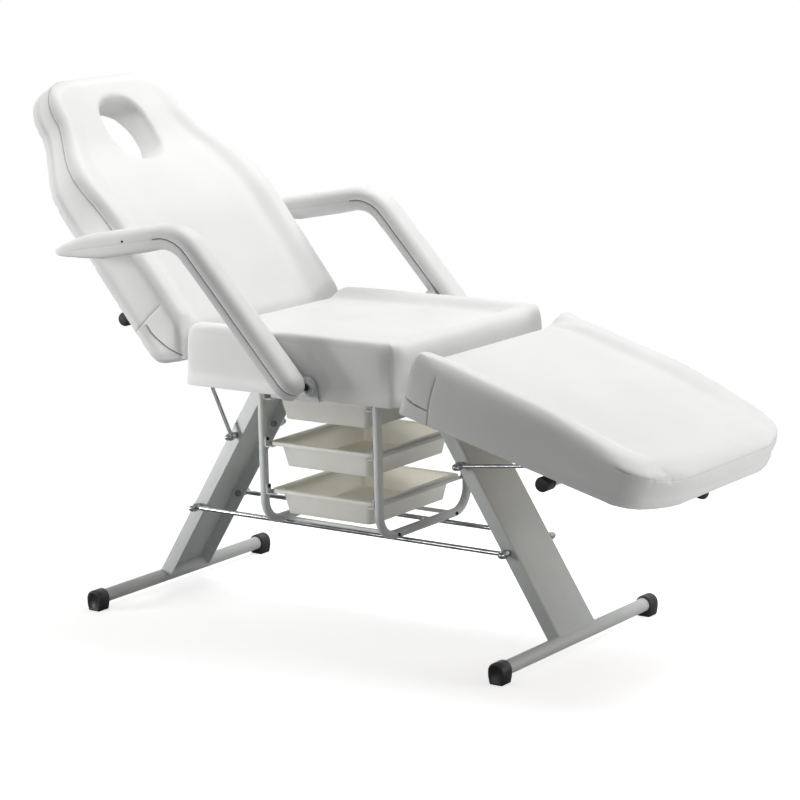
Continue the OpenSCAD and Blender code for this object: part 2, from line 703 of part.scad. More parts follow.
// Plate in the middle of a hinge, its far end under a rail of the turning frame
module hinge_plate(eye, start) {
  foot = [start + hinge_drop*2, -strap_t - hinge_drop];
  side = tuck_share*square_to(eye, foot);
  both_sides() slab(rail_y - knuckle_t/2, rail_y + knuckle_t/2) difference() {
    union() {
      translate(eye) circle(r = hinge_r);
      polygon([eye + hinge_r*side, foot + hinge_drop*side, foot - hinge_drop*side,
        eye - hinge_r*side]);
      translate([foot.x - hinge_drop, -strap_t - hinge_drop*2]) square([hinge_len, hinge_drop*2]);
    }
    translate(eye) circle(r = pin_r + pin_play);
  }
}
module ears(root, root_r, eye) {
  off = knuckle_t/2 + face_gap;
  both_sides() for (s = [-1, 1]) translate([0, rail_y + s*(off + ear_t/2), 0])
    slab(-ear_t/2, ear_t/2) difference() {
      link(eye, hinge_r, root, root_r);
      translate(eye) circle(r = pin_r + weld_gap);
      translate([root.x < 0 ? root.x : root.x - root_r*2, root.y - root_r*2])
        square([root_r*2, root_r*4]);
    }
}
module hinge_pins(eye) {
  half = knuckle_t/2 + face_gap + ear_t;
  both_sides() {
    rod_y(eye.x, eye.y, pin_r, rail_y - half, rail_y + half);
    rod_y(eye.x, eye.y, hinge_r - overrun, rail_y - half - pin_head_t, rail_y - half);
    rod_y(eye.x, eye.y, hinge_r - overrun, rail_y + half, rail_y + half + pin_head_t);
  }
}

// Props
module stays(foot, bar) {
  reach = norm(bar - foot);
  lean = atan2(bar.y - foot.y, bar.x - foot.x);
  both_sides() difference() {
    union() {
      rod_y(foot.x, foot.y, eye_r, eye_y, eye_y + eye_t);
      translate([foot.x, eye_y + eye_t/2, foot.y]) rotate([0, -lean, 0])
        rotate([0, quarter, 0]) cylinder(r = stay_r, h = reach);
    }
    rod_y(foot.x, foot.y, bolt_r + pin_play, eye_y - overrun, nut_y);
    rod_y(bar.x, bar.y, bar_r + weld_gap, 0, bar_half);
  }
}
module prop_bar(bar) {
  rod_y(bar.x, bar.y, bar_r, grip_end - bar_half, bar_half - grip_end);
}
module prop_grips(bar) {
  both_sides() difference() {
    rod_y(bar.x, bar.y, bar_r + grip_t, bar_half - grip_len, bar_half);
    rod_y(bar.x, bar.y, bar_r + weld_gap, bar_half - grip_len - overrun, bar_half - grip_end);
  }
}

// Tray rack
bend_top = frame_z - foot_plate_t;
module bent_tube() {
  rod_y(bend_x, bend_z, bend_tube_r, bend_r - bend_y, bend_y - bend_r);
  both_sides() {
    translate([bend_x, bend_y, bend_z + bend_r]) cylinder(r = bend_tube_r, h = bend_top - bend_z - bend_r);
    translate([bend_x, bend_y - bend_r, bend_z + bend_r]) rotate([0, quarter, 0])
      rotate_extrude(angle = quarter) translate([bend_r, 0]) circle(r = bend_tube_r);
  }
}
module rack_bar() {
  difference() {
    rod_x(rack_bar_y, bend_z, rack_bar_r, -bend_x, bend_x);
    both_ends() rod_y(bend_x, bend_z, bend_tube_r + weld_gap, 0, bend_y - bend_r);
  }
}
tray_rims = [tray_rim_z, tray_rim_z + tray_pitch, tray_rim_z + tray_pitch*2];
runner_x = bend_x - bend_tube_r;
module runner(rim) {
  top = rim - tray_lip - face_gap;
  both_ends() {
    block(tray_body_x + runner_gap, runner_x, -bend_y - runner_tab_w/2, bend_y + runner_tab_w/2,
      top - runner_t, top);
    block(runner_x - runner_t, runner_x, -bend_y - runner_tab_w/2, bend_y + runner_tab_w/2,
      top, top - runner_t + runner_h);
    both_sides() block(runner_x - runner_t, runner_x, bend_y - runner_tab_w/2,
      bend_y + runner_tab_w/2, top - runner_t + runner_h, rim + runner_tab_z);
  }
}
corner_steps = 4;
function soft_box(hx, hy, r, z) = [for (c = [0:3]) for (k = [0:corner_steps])
  let (a = c*quarter + k*quarter/corner_steps, sx = (c == 0 || c == 3) ? 1 : -1,
  sy = c < 2 ? 1 : -1) [sx*(hx - r) + r*cos(a), sy*(hy - r) + r*sin(a), z]];
module tray(rim) {
  bx = tray_body_x - tray_draft;
  by = tray_body_y - tray_draft;
  lx = tray_half_x - tray_wall;
  ly = tray_half_y - tray_wall;
  r = tray_corner;
  translate([0, 0, rim]) skin([soft_box(bx, by, r, -tray_depth),
    soft_box(tray_body_x, tray_body_y, r, -tray_wall), soft_box(lx, ly, r, -tray_wall),
    soft_box(lx, ly, r, -tray_lip), soft_box(tray_half_x, tray_half_y, r + tray_wall, -tray_lip),
    soft_box(tray_half_x, tray_half_y, r + tray_wall, 0),
    soft_box(tray_body_x - tray_wall, tray_body_y - tray_wall, r - tray_wall, 0),
    soft_box(bx - tray_wall, by - tray_wall, r - tray_wall, tray_wall - tray_depth)]);
}

// Arms, drawn for the far side
up_dir = [cos(arm_rise), sin(arm_rise)];
down_dir = [cos(arm_fall), -sin(arm_fall)];
bend_point = [arm_bend_x, arm_bend_z];
bend_tan = arm_bend_r*tan((arm_rise + arm_fall)/2);
bend_in = bend_point - bend_tan*up_dir;
bend_mid = bend_in + arm_bend_r*[sin(arm_rise), -cos(arm_rise)];
bend_out = bend_point + bend_tan*down_dir;
arm_tip = bend_point - arm_upper*up_dir;
arm_end = bend_point + arm_lower*down_dir;
end_shares = [0.03, 0.2, 0.5, 1];
bend_steps = 7;
straight_steps = 4;
// Rows of the arm's line: place, heading, and share of the full section
arm_y = seat_half + arm_out + arm_half;
arm_rows = concat(
  [for (s = end_shares) [arm_tip + s*arm_half*up_dir, arm_rise, sqrt(s*(2 - s))]],
  [for (k = [1:straight_steps-1]) [mixed(arm_tip + arm_half*up_dir, bend_in, k/straight_steps),
    arm_rise, 1]],
  [for (k = [0:bend_steps]) let (a = mixed(arm_rise, -arm_fall, k/bend_steps))
    [bend_mid + arm_bend_r*[-sin(a), cos(a)], a, 1]],
  [for (k = [1:straight_steps-1]) [mixed(bend_out, arm_end - arm_half*down_dir,
    k/straight_steps), -arm_fall, 1]],
  [for (k = [len(end_shares)-1:-1:0]) let (s = end_shares[k])
    [arm_end - s*arm_half*down_dir, -arm_fall, sqrt(s*(2 - s))]]);
dome_shares = [[1, 0], [1, 0.28], [0.93, 0.58], [0.76, 0.83], [0.45, 0.96], [0, 1], [-0.45, 0.96],
  [-0.76, 0.83], [-0.93, 0.58], [-1, 0.28], [-1, 0], [-0.5, 0], [0, 0], [0.5, 0]];
module arm_dome() {
  skin([for (r = arm_rows) [for (d = dome_shares) [r[0].x - d[1]*arm_pad*r[2]*sin(r[1]),
    arm_y + d[0]*arm_half*r[2], r[0].y + d[1]*arm_pad*r[2]*cos(r[1])]]]);
}
board_line = concat([[arm_tip - overrun*up_dir, arm_rise]],
  [for (k = [0:bend_steps]) let (a = mixed(arm_rise, -arm_fall, k/bend_steps))
    [bend_mid + arm_bend_r*[-sin(a), cos(a)], a]], [[arm_end + overrun*down_dir, -arm_fall]]);
module end_trim() {
  r = arm_half + overrun;
  translate([0, 0, -arm_board*2]) linear_extrude(arm_board*3) difference() {
    translate([-overrun*2, -arm_half*2]) square([r + overrun*2, arm_half*4]);
    translate([r, 0]) circle(r = r);
  }
}
module arm_plank() {
  difference() {
    slab(arm_y - arm_half, arm_y + arm_half) polygon(concat([for (r = board_line) r[0]],
      [for (k = [len(board_line)-1:-1:0]) let (r = board_line[k])
        r[0] + arm_board*[sin(r[1]), -cos(r[1])]]));
    translate([arm_tip.x, arm_y, arm_tip.y]) rotate([0, -arm_rise, 0]) end_trim();
    translate([arm_end.x, arm_y, arm_end.y]) rotate([0, arm_fall, 0]) rotate([0, 0, half_turn])
      end_trim();
  }
}
arm_pin = [arm_pin_x, arm_pin_z];
arm_along = -down_dir;
arm_over = [sin(arm_fall), cos(arm_fall)];
line_off = (arm_end - arm_pin)*arm_over;
under_off = line_off - arm_board;
mount_y = seat_half + arm_mount_gap;
bracket_y = mount_y + arm_plate_t + face_gap;
head_y = bracket_y + arm_plate_t + face_gap;
head_t = arm_y - arm_half - head_y - face_gap;
flange_t = arm_plate_t - overrun;
function by_arm(s, h) = arm_pin + s*arm_along + h*arm_over;
module arm_bracket() {
  difference() {
    union() {
      slab(bracket_y, bracket_y + arm_plate_t) union() {
        translate(arm_pin) circle(r = arm_plate_r);
        polygon([by_arm(0, line_off), by_arm(arm_bracket_len, line_off),
          by_arm(arm_bracket_len, under_off - flange_t), by_arm(0, under_off - flange_t)]);
      }
      slab(bracket_y, bracket_y + arm_plate_t + arm_bracket_w) polygon([
        by_arm(arm_plate_r*2, under_off), by_arm(arm_bracket_len, under_off),
        by_arm(arm_bracket_len, under_off - flange_t), by_arm(arm_plate_r*2, under_off - flange_t)]);
    }
    rod_y(arm_pin.x, arm_pin.y, arm_bolt_r + pin_play, mount_y, head_y);
  }
}
arm_stop = by_arm(arm_stop_s, under_off - flange_t - face_gap - arm_stop_r);
module arm_mount() {
  difference() {
    union() {
      block(arm_pin.x - arm_strap_w/2, arm_pin.x + arm_strap_w/2, rail_y + rail_half,
        mount_y + arm_plate_t, frame_top - arm_strap_t, frame_top);
      slab(mount_y, mount_y + arm_plate_t) union() {
        link(arm_pin, arm_plate_r, arm_stop, arm_stop_r*2);
        polygon([[arm_pin.x - arm_strap_w/2, frame_top - arm_strap_t],
          [arm_pin.x + arm_strap_w/2, frame_top - arm_strap_t],
          [arm_pin.x + arm_plate_r, arm_pin.y], arm_pin, arm_stop]);
      }
      rod_y(arm_stop.x, arm_stop.y, arm_stop_r, mount_y, mount_y + arm_plate_t + arm_bracket_w);
    }
    rod_y(arm_pin.x, arm_pin.y, arm_bolt_r + weld_gap, mount_y - overrun,
      mount_y + arm_plate_t + overrun);
  }
}
module arm_bolt() {
  rod_y(arm_pin.x, arm_pin.y, arm_bolt_r, mount_y, head_y);
  rod_y(arm_pin.x, arm_pin.y, arm_head_r, head_y, head_y + head_t);
}

module head_leg() color(steel) placed() {
  mirror([1, 0, 0]) leg();
}
module foot_leg() color(steel) placed() {
  leg();
}
module head_floor_tube() color(steel) placed() {
  mirror([1, 0, 0]) floor_tube();
}
module foot_floor_tube() color(steel) placed() {
  floor_tube();
}
module floor_feet() color(rubber) placed() {
  both_ends() both_sides() floor_foot();
}
module near_stretcher() color(chrome) placed() {
  mirror([0, 1, 0]) stretcher();
}
module far_stretcher() color(chrome) placed() {
  stretcher();
}
module stretcher_bolts() color(chrome) placed() {
  both_ends() both_sides() cross_bolt(stretch_x, stretch_z);
}
module stay_bolts() color(chrome) placed() {
  both_ends() both_sides() cross_bolt(stay_x, stay_z);
}
module dome_nuts() color(chrome) placed() {
  both_ends() both_sides() {
    dome_nut(stretch_x, stretch_z);
    dome_nut(stay_x, stay_z);
  }
}
module leg_plate_bolts() color(rubber) placed() {
  both_ends() plate_bolt_spots() plate_bolt();
}
module near_side_rail() color(steel) placed() {
  mirror([0, 1, 0]) side_rail();
}
module far_side_rail() color(steel) placed() {
  side_rail();
}
module cross_rails() color(steel) placed() {
  both_ends() cross_rail();
}
module end_rails() color(steel) placed() {
  block(rail_head_x, rail_head_x + end_rail_w, -rail_in, rail_in, frame_z, frame_top);
  block(rail_foot_x - end_rail_w, rail_foot_x, -rail_in, rail_in, frame_z, frame_top);
}
module seat_board() color(ply) placed() {
  translate([0, 0, frame_top]) board_of(seat_plan);
}
module seat_cushion() color(vinyl) placed() {
  seat_pad();
}
module head_bent_tube() color(steel) placed() {
  mirror([1, 0, 0]) bent_tube();
}
module foot_bent_tube() color(steel) placed() {
  bent_tube();
}
module rack_foot_plates() color(steel) placed() {
  both_ends() both_sides() block(bend_x - foot_plate/2, bend_x + foot_plate/2,
    bend_y - foot_plate/2, bend_y + foot_plate/2, bend_top, frame_z);
}
module rack_cross_bars() color(steel) placed() {
  both_sides() rack_bar();
}
module rack_screws() color(rubber) placed() {
  both_ends() both_sides() {
    rod_x(rack_bar_y, bend_z, screw_r, bend_x + bend_tube_r, bend_x + bend_tube_r + screw_t);
    for (rim = tray_rims) rod_x(bend_y, rim + runner_screw_z, screw_r,
      runner_x - runner_t - screw_t, runner_x - runner_t);
  }
}
module top_runners() color(steel) placed() {
  runner(tray_rims[2]);
}
module middle_runners() color(steel) placed() {
  runner(tray_rims[1]);
}
module bottom_runners() color(steel) placed() {
  runner(tray_rims[0]);
}
module top_tray() color(tray_plastic) placed() {
  tray(tray_rims[2]);
}
module middle_tray() color(tray_plastic) placed() {
  tray(tray_rims[1]);
}
module bottom_tray() color(tray_plastic) placed() {
  tray(tray_rims[0]);
}
module back_hinge_ears() color(steel) placed() {
  ears([rail_head_x, frame_z + rail_h/2], rail_h/2, back_pin);
}
module back_hinge_pins() color(chrome) placed() {
  hinge_pins(back_pin);
}
module rest_hinge_ears() color(steel) placed() {
  ears([rail_foot_x, rest_pin.y], hinge_r, rest_pin);
}
module rest_hinge_pins() color(chrome) placed() {
  hinge_pins(rest_pin);
}
module back_rails() color(steel) placed() {
  on_back() straps(back_strap_start, back_strap_end);
}
module back_cross_rails() color(steel) placed() {
  on_back() cross_straps([back_strap_start + back_cross_in, back_strap_start + back_cross_middle,
    back_strap_end - back_cross_out]);
}
module back_hinge_plates() color(steel) placed() {
  on_back() hinge_plate(back_uv(back_pin), 0);
}
module back_racks() color(steel) placed() {
  on_back() rack(back_path, back_stops);
}
module back_board() color(ply) placed() {
  on_back() difference() {
    board_of(back_plan);
    translate([0, 0, -overrun]) linear_extrude(board_t + overrun*2)
      polygon([for (p = back_plan) hole_at(p, board_inset)]);
  }
}
module back_cushion() color(vinyl) placed() {
  on_back() back_pad();
}
module rest_rails() color(steel) placed() {
  on_rest() straps(rest_strap_start, rest_strap_end);
}
module rest_cross_rails() color(steel) placed() {
  on_rest() cross_straps([rest_strap_start + rest_cross_in, rest_strap_start + rest_cross_middle,
    buffer_v]);
}
module rest_hinge_plates() color(steel) placed() {
  on_rest() hinge_plate(rest_uv(rest_pin), rest_strap_start - hinge_drop);
}
module rest_racks() color(steel) placed() {
  on_rest() rack(rest_path, rest_stops);
}
module rest_board() color(ply) placed() {
  on_rest() board_of([for (p = rest_plan) toed(p, 0)]);
}
module rest_cushion() color(vinyl) placed() {
  on_rest() rest_pad();
}
module rest_buffer() color(rubber) placed() {
  on_rest() translate([buffer_v, 0, -buffer_drop]) {
    translate([0, 0, buffer_r/2]) cylinder(r = buffer_r, h = buffer_drop - strap_t - buffer_r/2);
    cylinder(r1 = buffer_r*buffer_share, r2 = buffer_r, h = buffer_r/2);
  }
}
module back_stays() color(chrome) placed() {
  stays(head_stay, back_bar);
}
module back_prop_bar() color(steel) placed() {
  prop_bar(back_bar);
}
module back_prop_grips() color(rubber) placed() {
  prop_grips(back_bar);
}
module rest_stays() color(chrome) placed() {
  stays(foot_stay, rest_bar);
}
module rest_prop_bar() color(steel) placed() {
  prop_bar(rest_bar);
}
module rest_prop_grips() color(rubber) placed() {
  prop_grips(rest_bar);
}
module arm_mounts() color(steel) placed() {
  both_sides() arm_mount();
}
module arm_bolts() color(rubber) placed() {
  both_sides() arm_bolt();
}
module near_arm_bracket() color(steel) placed() {
  mirror([0, 1, 0]) arm_bracket();
}
module far_arm_bracket() color(steel) placed() {
  arm_bracket();
}
module near_arm_board() color(ply) placed() {
  mirror([0, 1, 0]) arm_plank();
}
module far_arm_board() color(ply) placed() {
  arm_plank();
}
module near_arm_pad() color(vinyl) placed() {
  mirror([0, 1, 0]) arm_dome();
}
module far_arm_pad() color(vinyl) placed() {
  arm_dome();
}

head_leg();
foot_leg();
head_floor_tube();
foot_floor_tube();
floor_feet();
near_stretcher();
far_stretcher();
stretcher_bolts();
stay_bolts();
dome_nuts();
leg_plate_bolts();
near_side_rail();
far_side_rail();
cross_rails();
end_rails();
seat_board();
seat_cushion();
head_bent_tube();
foot_bent_tube();
rack_foot_plates();
rack_cross_bars();
rack_screws();
top_runners();
middle_runners();
bottom_runners();
top_tray();
middle_tray();
bottom_tray();
back_hinge_ears();
back_hinge_pins();
rest_hinge_ears();
rest_hinge_pins();
back_rails();
back_cross_rails();
back_hinge_plates();
back_racks();
back_board();
back_cushion();
rest_rails();
rest_cross_rails();
rest_hinge_plates();
rest_racks();
rest_board();
rest_cushion();
rest_buffer();
back_stays();
back_prop_bar();
back_prop_grips();
rest_stays();
rest_prop_bar();
rest_prop_grips();
arm_mounts();
arm_bolts();
near_arm_bracket();
far_arm_bracket();
near_arm_board();
far_arm_board();
near_arm_pad();
far_arm_pad();
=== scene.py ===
# Portable massage bed: the dressed model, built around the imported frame.
import json
import math
from contextlib import contextmanager
from functools import partial
from itertools import product

import bmesh
import bpy
import numpy as np
from mathutils import Matrix, Vector


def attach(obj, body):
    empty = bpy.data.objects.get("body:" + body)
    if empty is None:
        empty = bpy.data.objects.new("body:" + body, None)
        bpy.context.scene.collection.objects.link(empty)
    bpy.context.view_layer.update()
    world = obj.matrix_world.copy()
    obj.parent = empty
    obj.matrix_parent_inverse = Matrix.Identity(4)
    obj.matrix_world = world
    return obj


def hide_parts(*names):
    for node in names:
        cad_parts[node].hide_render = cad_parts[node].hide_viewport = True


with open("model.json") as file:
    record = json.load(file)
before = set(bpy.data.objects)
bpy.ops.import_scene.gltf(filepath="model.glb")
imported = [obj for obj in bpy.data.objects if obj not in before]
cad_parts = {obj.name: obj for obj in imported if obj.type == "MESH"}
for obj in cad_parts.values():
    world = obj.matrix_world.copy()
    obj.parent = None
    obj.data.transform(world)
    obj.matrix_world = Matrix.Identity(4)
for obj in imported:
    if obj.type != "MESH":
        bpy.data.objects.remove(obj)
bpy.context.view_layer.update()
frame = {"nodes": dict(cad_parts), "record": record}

MM = 0.001
MIDDLE = 60.2779  # mm from the middle of the seat to the middle of the whole bed
NODES = frame["nodes"]
SIDES = (-1, 1)  # near and far side, or head and foot end


def spot(x, y, z):
    """A place in mm from the floor under the seat's middle, as metres in the frame."""
    return Vector(((x - MIDDLE) * MM, y * MM, z * MM))


def placed(name, data):
    """A new object in the scene."""
    thing = bpy.data.objects.new(name, data)
    bpy.context.scene.collection.objects.link(thing)
    return thing


# Camera: its target in mm, its distance, and its turn, height and roll in degrees
VIEW_TARGET = Vector((161.2, -82.9, 501.5))
VIEW_DISTANCE, VIEW_TURN, VIEW_HEIGHT, VIEW_ROLL = 5640.8, 35.355, 11.328, -1.262
FOCAL_PIXELS, FRAME_PIXELS, SENSOR = 2747.19, 800, 36
VIEW_SHIFT = (-0.0049, -0.0039)


def set_camera():
    turn, height, roll = (math.radians(a) for a in (VIEW_TURN, VIEW_HEIGHT, VIEW_ROLL))
    back = Vector((math.sin(turn) * math.cos(height), -math.cos(turn) * math.cos(height),
                   math.sin(height)))
    right = Vector((math.cos(turn), math.sin(turn), 0))
    up = back.cross(right)
    side = right * math.cos(roll) + up * math.sin(roll)
    top = up * math.cos(roll) - right * math.sin(roll)
    place = VIEW_TARGET + back * VIEW_DISTANCE
    data = bpy.data.cameras.new("camera")
    data.sensor_width = SENSOR
    data.lens = FOCAL_PIXELS / FRAME_PIXELS * SENSOR
    data.shift_x, data.shift_y = VIEW_SHIFT
    data.clip_end = 40
    camera = placed("camera", data)
    camera.matrix_world = Matrix.Translation(spot(*place)) @ Matrix(
        (side, top, back)).transposed().to_4x4()
    bpy.context.scene.camera = camera


# Materials: a pattern's Scale is one over its size in metres
def linear(hex_code):
    """An sRGB hex colour as linear RGBA."""
    parts = [int(hex_code[i:i + 2], 16) / 255 for i in (0, 2, 4)]
    return [c / 12.92 if c <= 0.04045 else ((c + 0.055) / 1.055) ** 2.4 for c in parts] + [1]


def add_node(tree, kind, inputs=None, stops=(), **settings):
    """Adds a node with its settings. An input is a value, a socket, or a node whose first open
    output it takes. Stops are the places and colours of a ramp."""
    node = tree.nodes.new("ShaderNode" + kind)
    for key, value in settings.items():
        setattr(node, key, value)
    for number, (place, colour) in enumerate(stops):
        node.color_ramp.elements[number].position = place
        node.color_ramp.elements[number].color = linear(colour)
    for key, value in (inputs or {}).items():
        if isinstance(value, bpy.types.Node):
            value = next(s for s in value.outputs if s.enabled)
        if isinstance(value, bpy.types.NodeSocket):
            tree.links.new(value, node.inputs[key])
        else:
            node.inputs[key].default_value = value
    return node


def new_material(name, surface, *colours):
    """A material whose shader is what surface adds to its nodes, on Object coordinates. add is
    add_node for the material's own tree."""
    mat = bpy.data.materials.new(name)
    mat.use_nodes = True
    mat.node_tree.nodes.clear()
    add = partial(add_node, mat.node_tree)
    place = add("TexCoord").outputs["Object"]
    add("OutputMaterial", {"Surface": surface(add, place, *colours)})
    return mat


def mottled(add, clouds, low, high, grain, smooth, rough, start=0.35, end=0.65):
    """Shader inputs: a colour that follows one pattern and a roughness that follows another."""
    tone = add("ValToRGB", {"Fac": clouds}, ((start, low), (end, high)))
    sheen = add("MapRange", {"Value": grain, "To Min": smooth, "To Max": rough})
    return {"Base Color": tone, "Roughness": sheen}


def vinyl_leathercloth(add, place):
    """Calendered PVC leathercloth, embossed with a fine pebble grain: even white with a soft
    satin sheen, and painted shade that greys it where it is drawn into a seam."""
    # the pebble grain is 1.1 mm across, drawn at 1.6 mm so that it shows
    pebbles = add("TexVoronoi", {"Vector": place, "Scale": 1 / 0.0016}, feature="SMOOTH_F1")
    pores = add("TexNoise", {"Vector": place, "Scale": 1 / 0.0008, "Detail": 3})
    stretch = add("TexNoise", {"Vector": place, "Scale": 1 / 0.09, "Detail": 3, "Roughness": 0.45})
    clouds = add("TexNoise", {"Vector": place, "Scale": 1 / 0.22, "Detail": 4})
    seam = add("Attribute", attribute_name="seam").outputs["Fac"]
    cover = mottled(add, clouds, "F0F0EF", "F5F5F4", stretch, 0.4, 0.52)
    # painted shade: the seam attribute greys the vinyl towards 4E5154 in the creases of the seams
    cover["Base Color"] = add("Mix", {"Factor": seam, "A": cover["Base Color"],
                                      "B": linear("4E5154")}, data_type="RGBA")
    for height, strength, depth in ((pebbles, 0.16, 0.0002), (pores, 0.1, 0.0001),
                                    (stretch, 0.25, 0.006)):
        below = {"Normal": cover["Normal"]} if "Normal" in cover else {}
        cover["Normal"] = add("Bump", below | {"Height": height, "Strength": strength,
                                               "Distance": depth})
    return add("BsdfPrincipled", cover | {
        "IOR": 1.5, "Coat Weight": 0.08, "Coat Roughness": 0.3, "Sheen Weight": 0.04})


def powder_coat(add, place):
    """Powder-coated steel, baked: a faint orange-peel ripple and a satin gloss, with a painted
    highlight that makes it paler along the edges."""
    # orange peel of about 2.5 mm from crest to crest
    peel = add("TexNoise", {"Vector": place, "Scale": 1 / 0.0025, "Detail": 2})
    clouds = add("TexNoise", {"Vector": place, "Scale": 1 / 0.12, "Detail": 5})
    # painted highlight: convex edges, found by pointiness, are painted paler towards F1F2F1
    highlight_pointiness = add("NewGeometry").outputs["Pointiness"]
    edge = add("MapRange", {"Value": highlight_pointiness, "From Min": 0.52, "From Max": 0.6, "To Min": 0,
                            "To Max": 0.35})
    coat = mottled(add, clouds, "C9CECD", "D3D7D5", clouds, 0.34, 0.46)
    coat["Base Color"] = add("Mix", {"Factor": edge, "A": coat["Base Color"],
                                     "B": linear("F1F2F1")}, data_type="RGBA")
    ripple = add("Bump", {"Height": peel, "Strength": 0.12, "Distance": 0.0004})
    return add("BsdfPrincipled", coat | {"IOR": 1.5, "Normal": ripple})


def chrome_plate(add, place):
    """Bright chrome plate on steel: mirror-like, with faint polishing haze; its colour is set dark
    as a painted reflection of dark surroundings.
    """
    haze = add("TexNoise", {"Vector": place, "Scale": 1 / 0.02, "Detail": 6})
    lines = add("TexNoise", {"Vector": place, "Scale": 1 / 0.0012, "Detail": 2})
    polish = add("Bump", {"Height": lines, "Strength": 0.03, "Distance": 0.0002})
    # painted reflection: the plate's colour is dark, 94979A to B6B9BC, for the dark surroundings
    # that it would reflect
    plate = mottled(add, haze, "94979A", "B6B9BC", haze, 0.06, 0.16)
    return add("BsdfPrincipled", plate | {"Metallic": 1, "Normal": polish})


def black_rubber(add, place):
    """Moulded black rubber: dull, with dust-grey scuffs and a fine pitted skin."""
    scuffs = add("TexNoise", {"Vector": place, "Scale": 1 / 0.014, "Detail": 8, "Roughness": 0.7})
    pits = add("TexNoise", {"Vector": place, "Scale": 1 / 0.0009, "Detail": 3})
    skin = add("Bump", {"Height": pits, "Strength": 0.2, "Distance": 0.0002})
    rubber = mottled(add, scuffs, "161617", "232325", scuffs, 0.38, 0.62, 0.4, 0.8)
    return add("BsdfPrincipled", rubber | {"IOR": 1.52, "Normal": skin})


def blackened_steel(add, place):
    """Blackened steel screws: near-black oxide with a low metallic glint."""
    mottle = add("TexNoise", {"Vector": place, "Scale": 1 / 0.004, "Detail": 5})
    oxide = mottled(add, mottle, "1B1C1E", "34363A", mottle, 0.3, 0.5)
    return add("BsdfPrincipled", oxide | {"Metallic": 0.7})


def moulded_polypropylene(add, place, low, high):
    """Injection-moulded polypropylene: waxy semi-gloss, slightly see-through at thin walls."""
    flow = add("TexNoise", {"Vector": place, "Scale": 1 / 0.05, "Detail": 3})
    spark = add("TexNoise", {"Vector": place, "Scale": 1 / 0.0006, "Detail": 2})
    skin = add("Bump", {"Height": spark, "Strength": 0.08, "Distance": 0.0002})
    shell = add("BsdfPrincipled", mottled(add, flow, low, high, flow, 0.3, 0.42) | {
        "IOR": 1.49, "Subsurface Weight": 0.15, "Subsurface Radius": (0.004, 0.0035, 0.003),
        "Subsurface Scale": 1.0, "Normal": skin})
    through = add("BsdfTranslucent", {"Color": linear(high)})
    return add("MixShader", {"Fac": 0.42, 1: shell, 2: through})


def birch_plywood(add, place):
    """Sanded birch plywood: pale rotary-cut figure running along the bed, matt."""
    along = add("Mapping", {"Vector": place, "Scale": (2.0, 30.0, 30.0)})
    figure = add("TexNoise", {"Vector": along, "Scale": 3.0, "Detail": 8, "Distortion": 0.6})
    pores = add("TexNoise", {"Vector": along, "Scale": 40.0, "Detail": 2})
    grain = add("Bump", {"Height": pores, "Strength": 0.15, "Distance": 0.0004})
    veneer = mottled(add, figure, "B99A6E", "D8BE95", pores, 0.6, 0.75)
    return add("BsdfPrincipled", veneer | {"IOR": 1.5, "Normal": grain})


TRAY_WHITE = new_material("tray_white_polypropylene", moulded_polypropylene, "F6F7F6", "FAFAF9")
TRAY_CREAM = new_material("tray_cream_polypropylene", moulded_polypropylene, "FAF7EC", "FCFAF1")
SLOT_FINISH = {
    "frame_steel": new_material("grey_white_powder_coat", powder_coat),
    "chrome": new_material("chrome_plate", chrome_plate),
    "rubber": new_material("moulded_black_rubber", black_rubber),
    "black_steel": new_material("blackened_steel", blackened_steel),
    "upholstery": new_material("white_vinyl_leathercloth", vinyl_leathercloth),
    "plywood": new_material("birch_plywood", birch_plywood),
    "tray_plastic": TRAY_WHITE}
NODE_SLOT = {s["node"]: s["material_slot"] for s in frame["record"]["subparts"]}
NODE_BODY = {n: b for b, ns in frame["record"]["behaviour"]["bodies"].items() for n in ns}


def dress_node(name):
    node = NODES[name]
    node.data.materials.clear()
    node.data.materials.append(SLOT_FINISH[NODE_SLOT[name]])


# Making pieces
def finish_piece(piece, *nodes, materials=()):
    """Gives a piece the body and finish of the last of the CAD nodes that it replaces."""
    slot = NODE_SLOT[nodes[-1]]
    for mat in materials or (SLOT_FINISH[slot],):
        piece.data.materials.append(mat)
    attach(piece, NODE_BODY[nodes[-1]])
    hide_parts(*nodes)


def shade_smooth(piece):
    piece.data.polygons.foreach_set("use_smooth", [True] * len(piece.data.polygons))


def piece_from(bm, name):
    """A new object from a bmesh, its normals outward."""
    bmesh.ops.recalc_face_normals(bm, faces=bm.faces[:])
    data = bpy.data.meshes.new(name)
    bm.to_mesh(data)
    bm.free()
    piece = placed(name, data)
    shade_smooth(piece)
    return piece


@contextmanager
def edited(piece):
    """A bmesh of the piece's mesh, put back when the block ends."""
    bm = bmesh.new()
    bm.from_mesh(piece.data)
    yield bm
    bm.to_mesh(piece.data)
    bm.free()


def baked(piece):
    """Swaps a piece's mesh for what its modifiers make of it."""
    graph = bpy.context.evaluated_depsgraph_get()
    graph.update()
    data = bpy.data.meshes.new_from_object(piece.evaluated_get(graph), depsgraph=graph)
    piece.modifiers.clear()
    old = piece.data
    piece.data = data
    data.name = piece.name
    bpy.data.meshes.remove(old)


def points_of(piece, key="co"):
    values = np.empty(len(piece.data.vertices) * 3)
    piece.data.vertices.foreach_get(key, values)
    return values.reshape(-1, 3)


def set_points(piece, co):
    piece.data.vertices.foreach_set("co", np.asarray(co, float).ravel())
    piece.data.update()


def modifier(piece, kind, **settings):
    made = piece.modifiers.new(kind.lower(), kind)
    for key, value in settings.items():
        setattr(made, key, value)
    return made


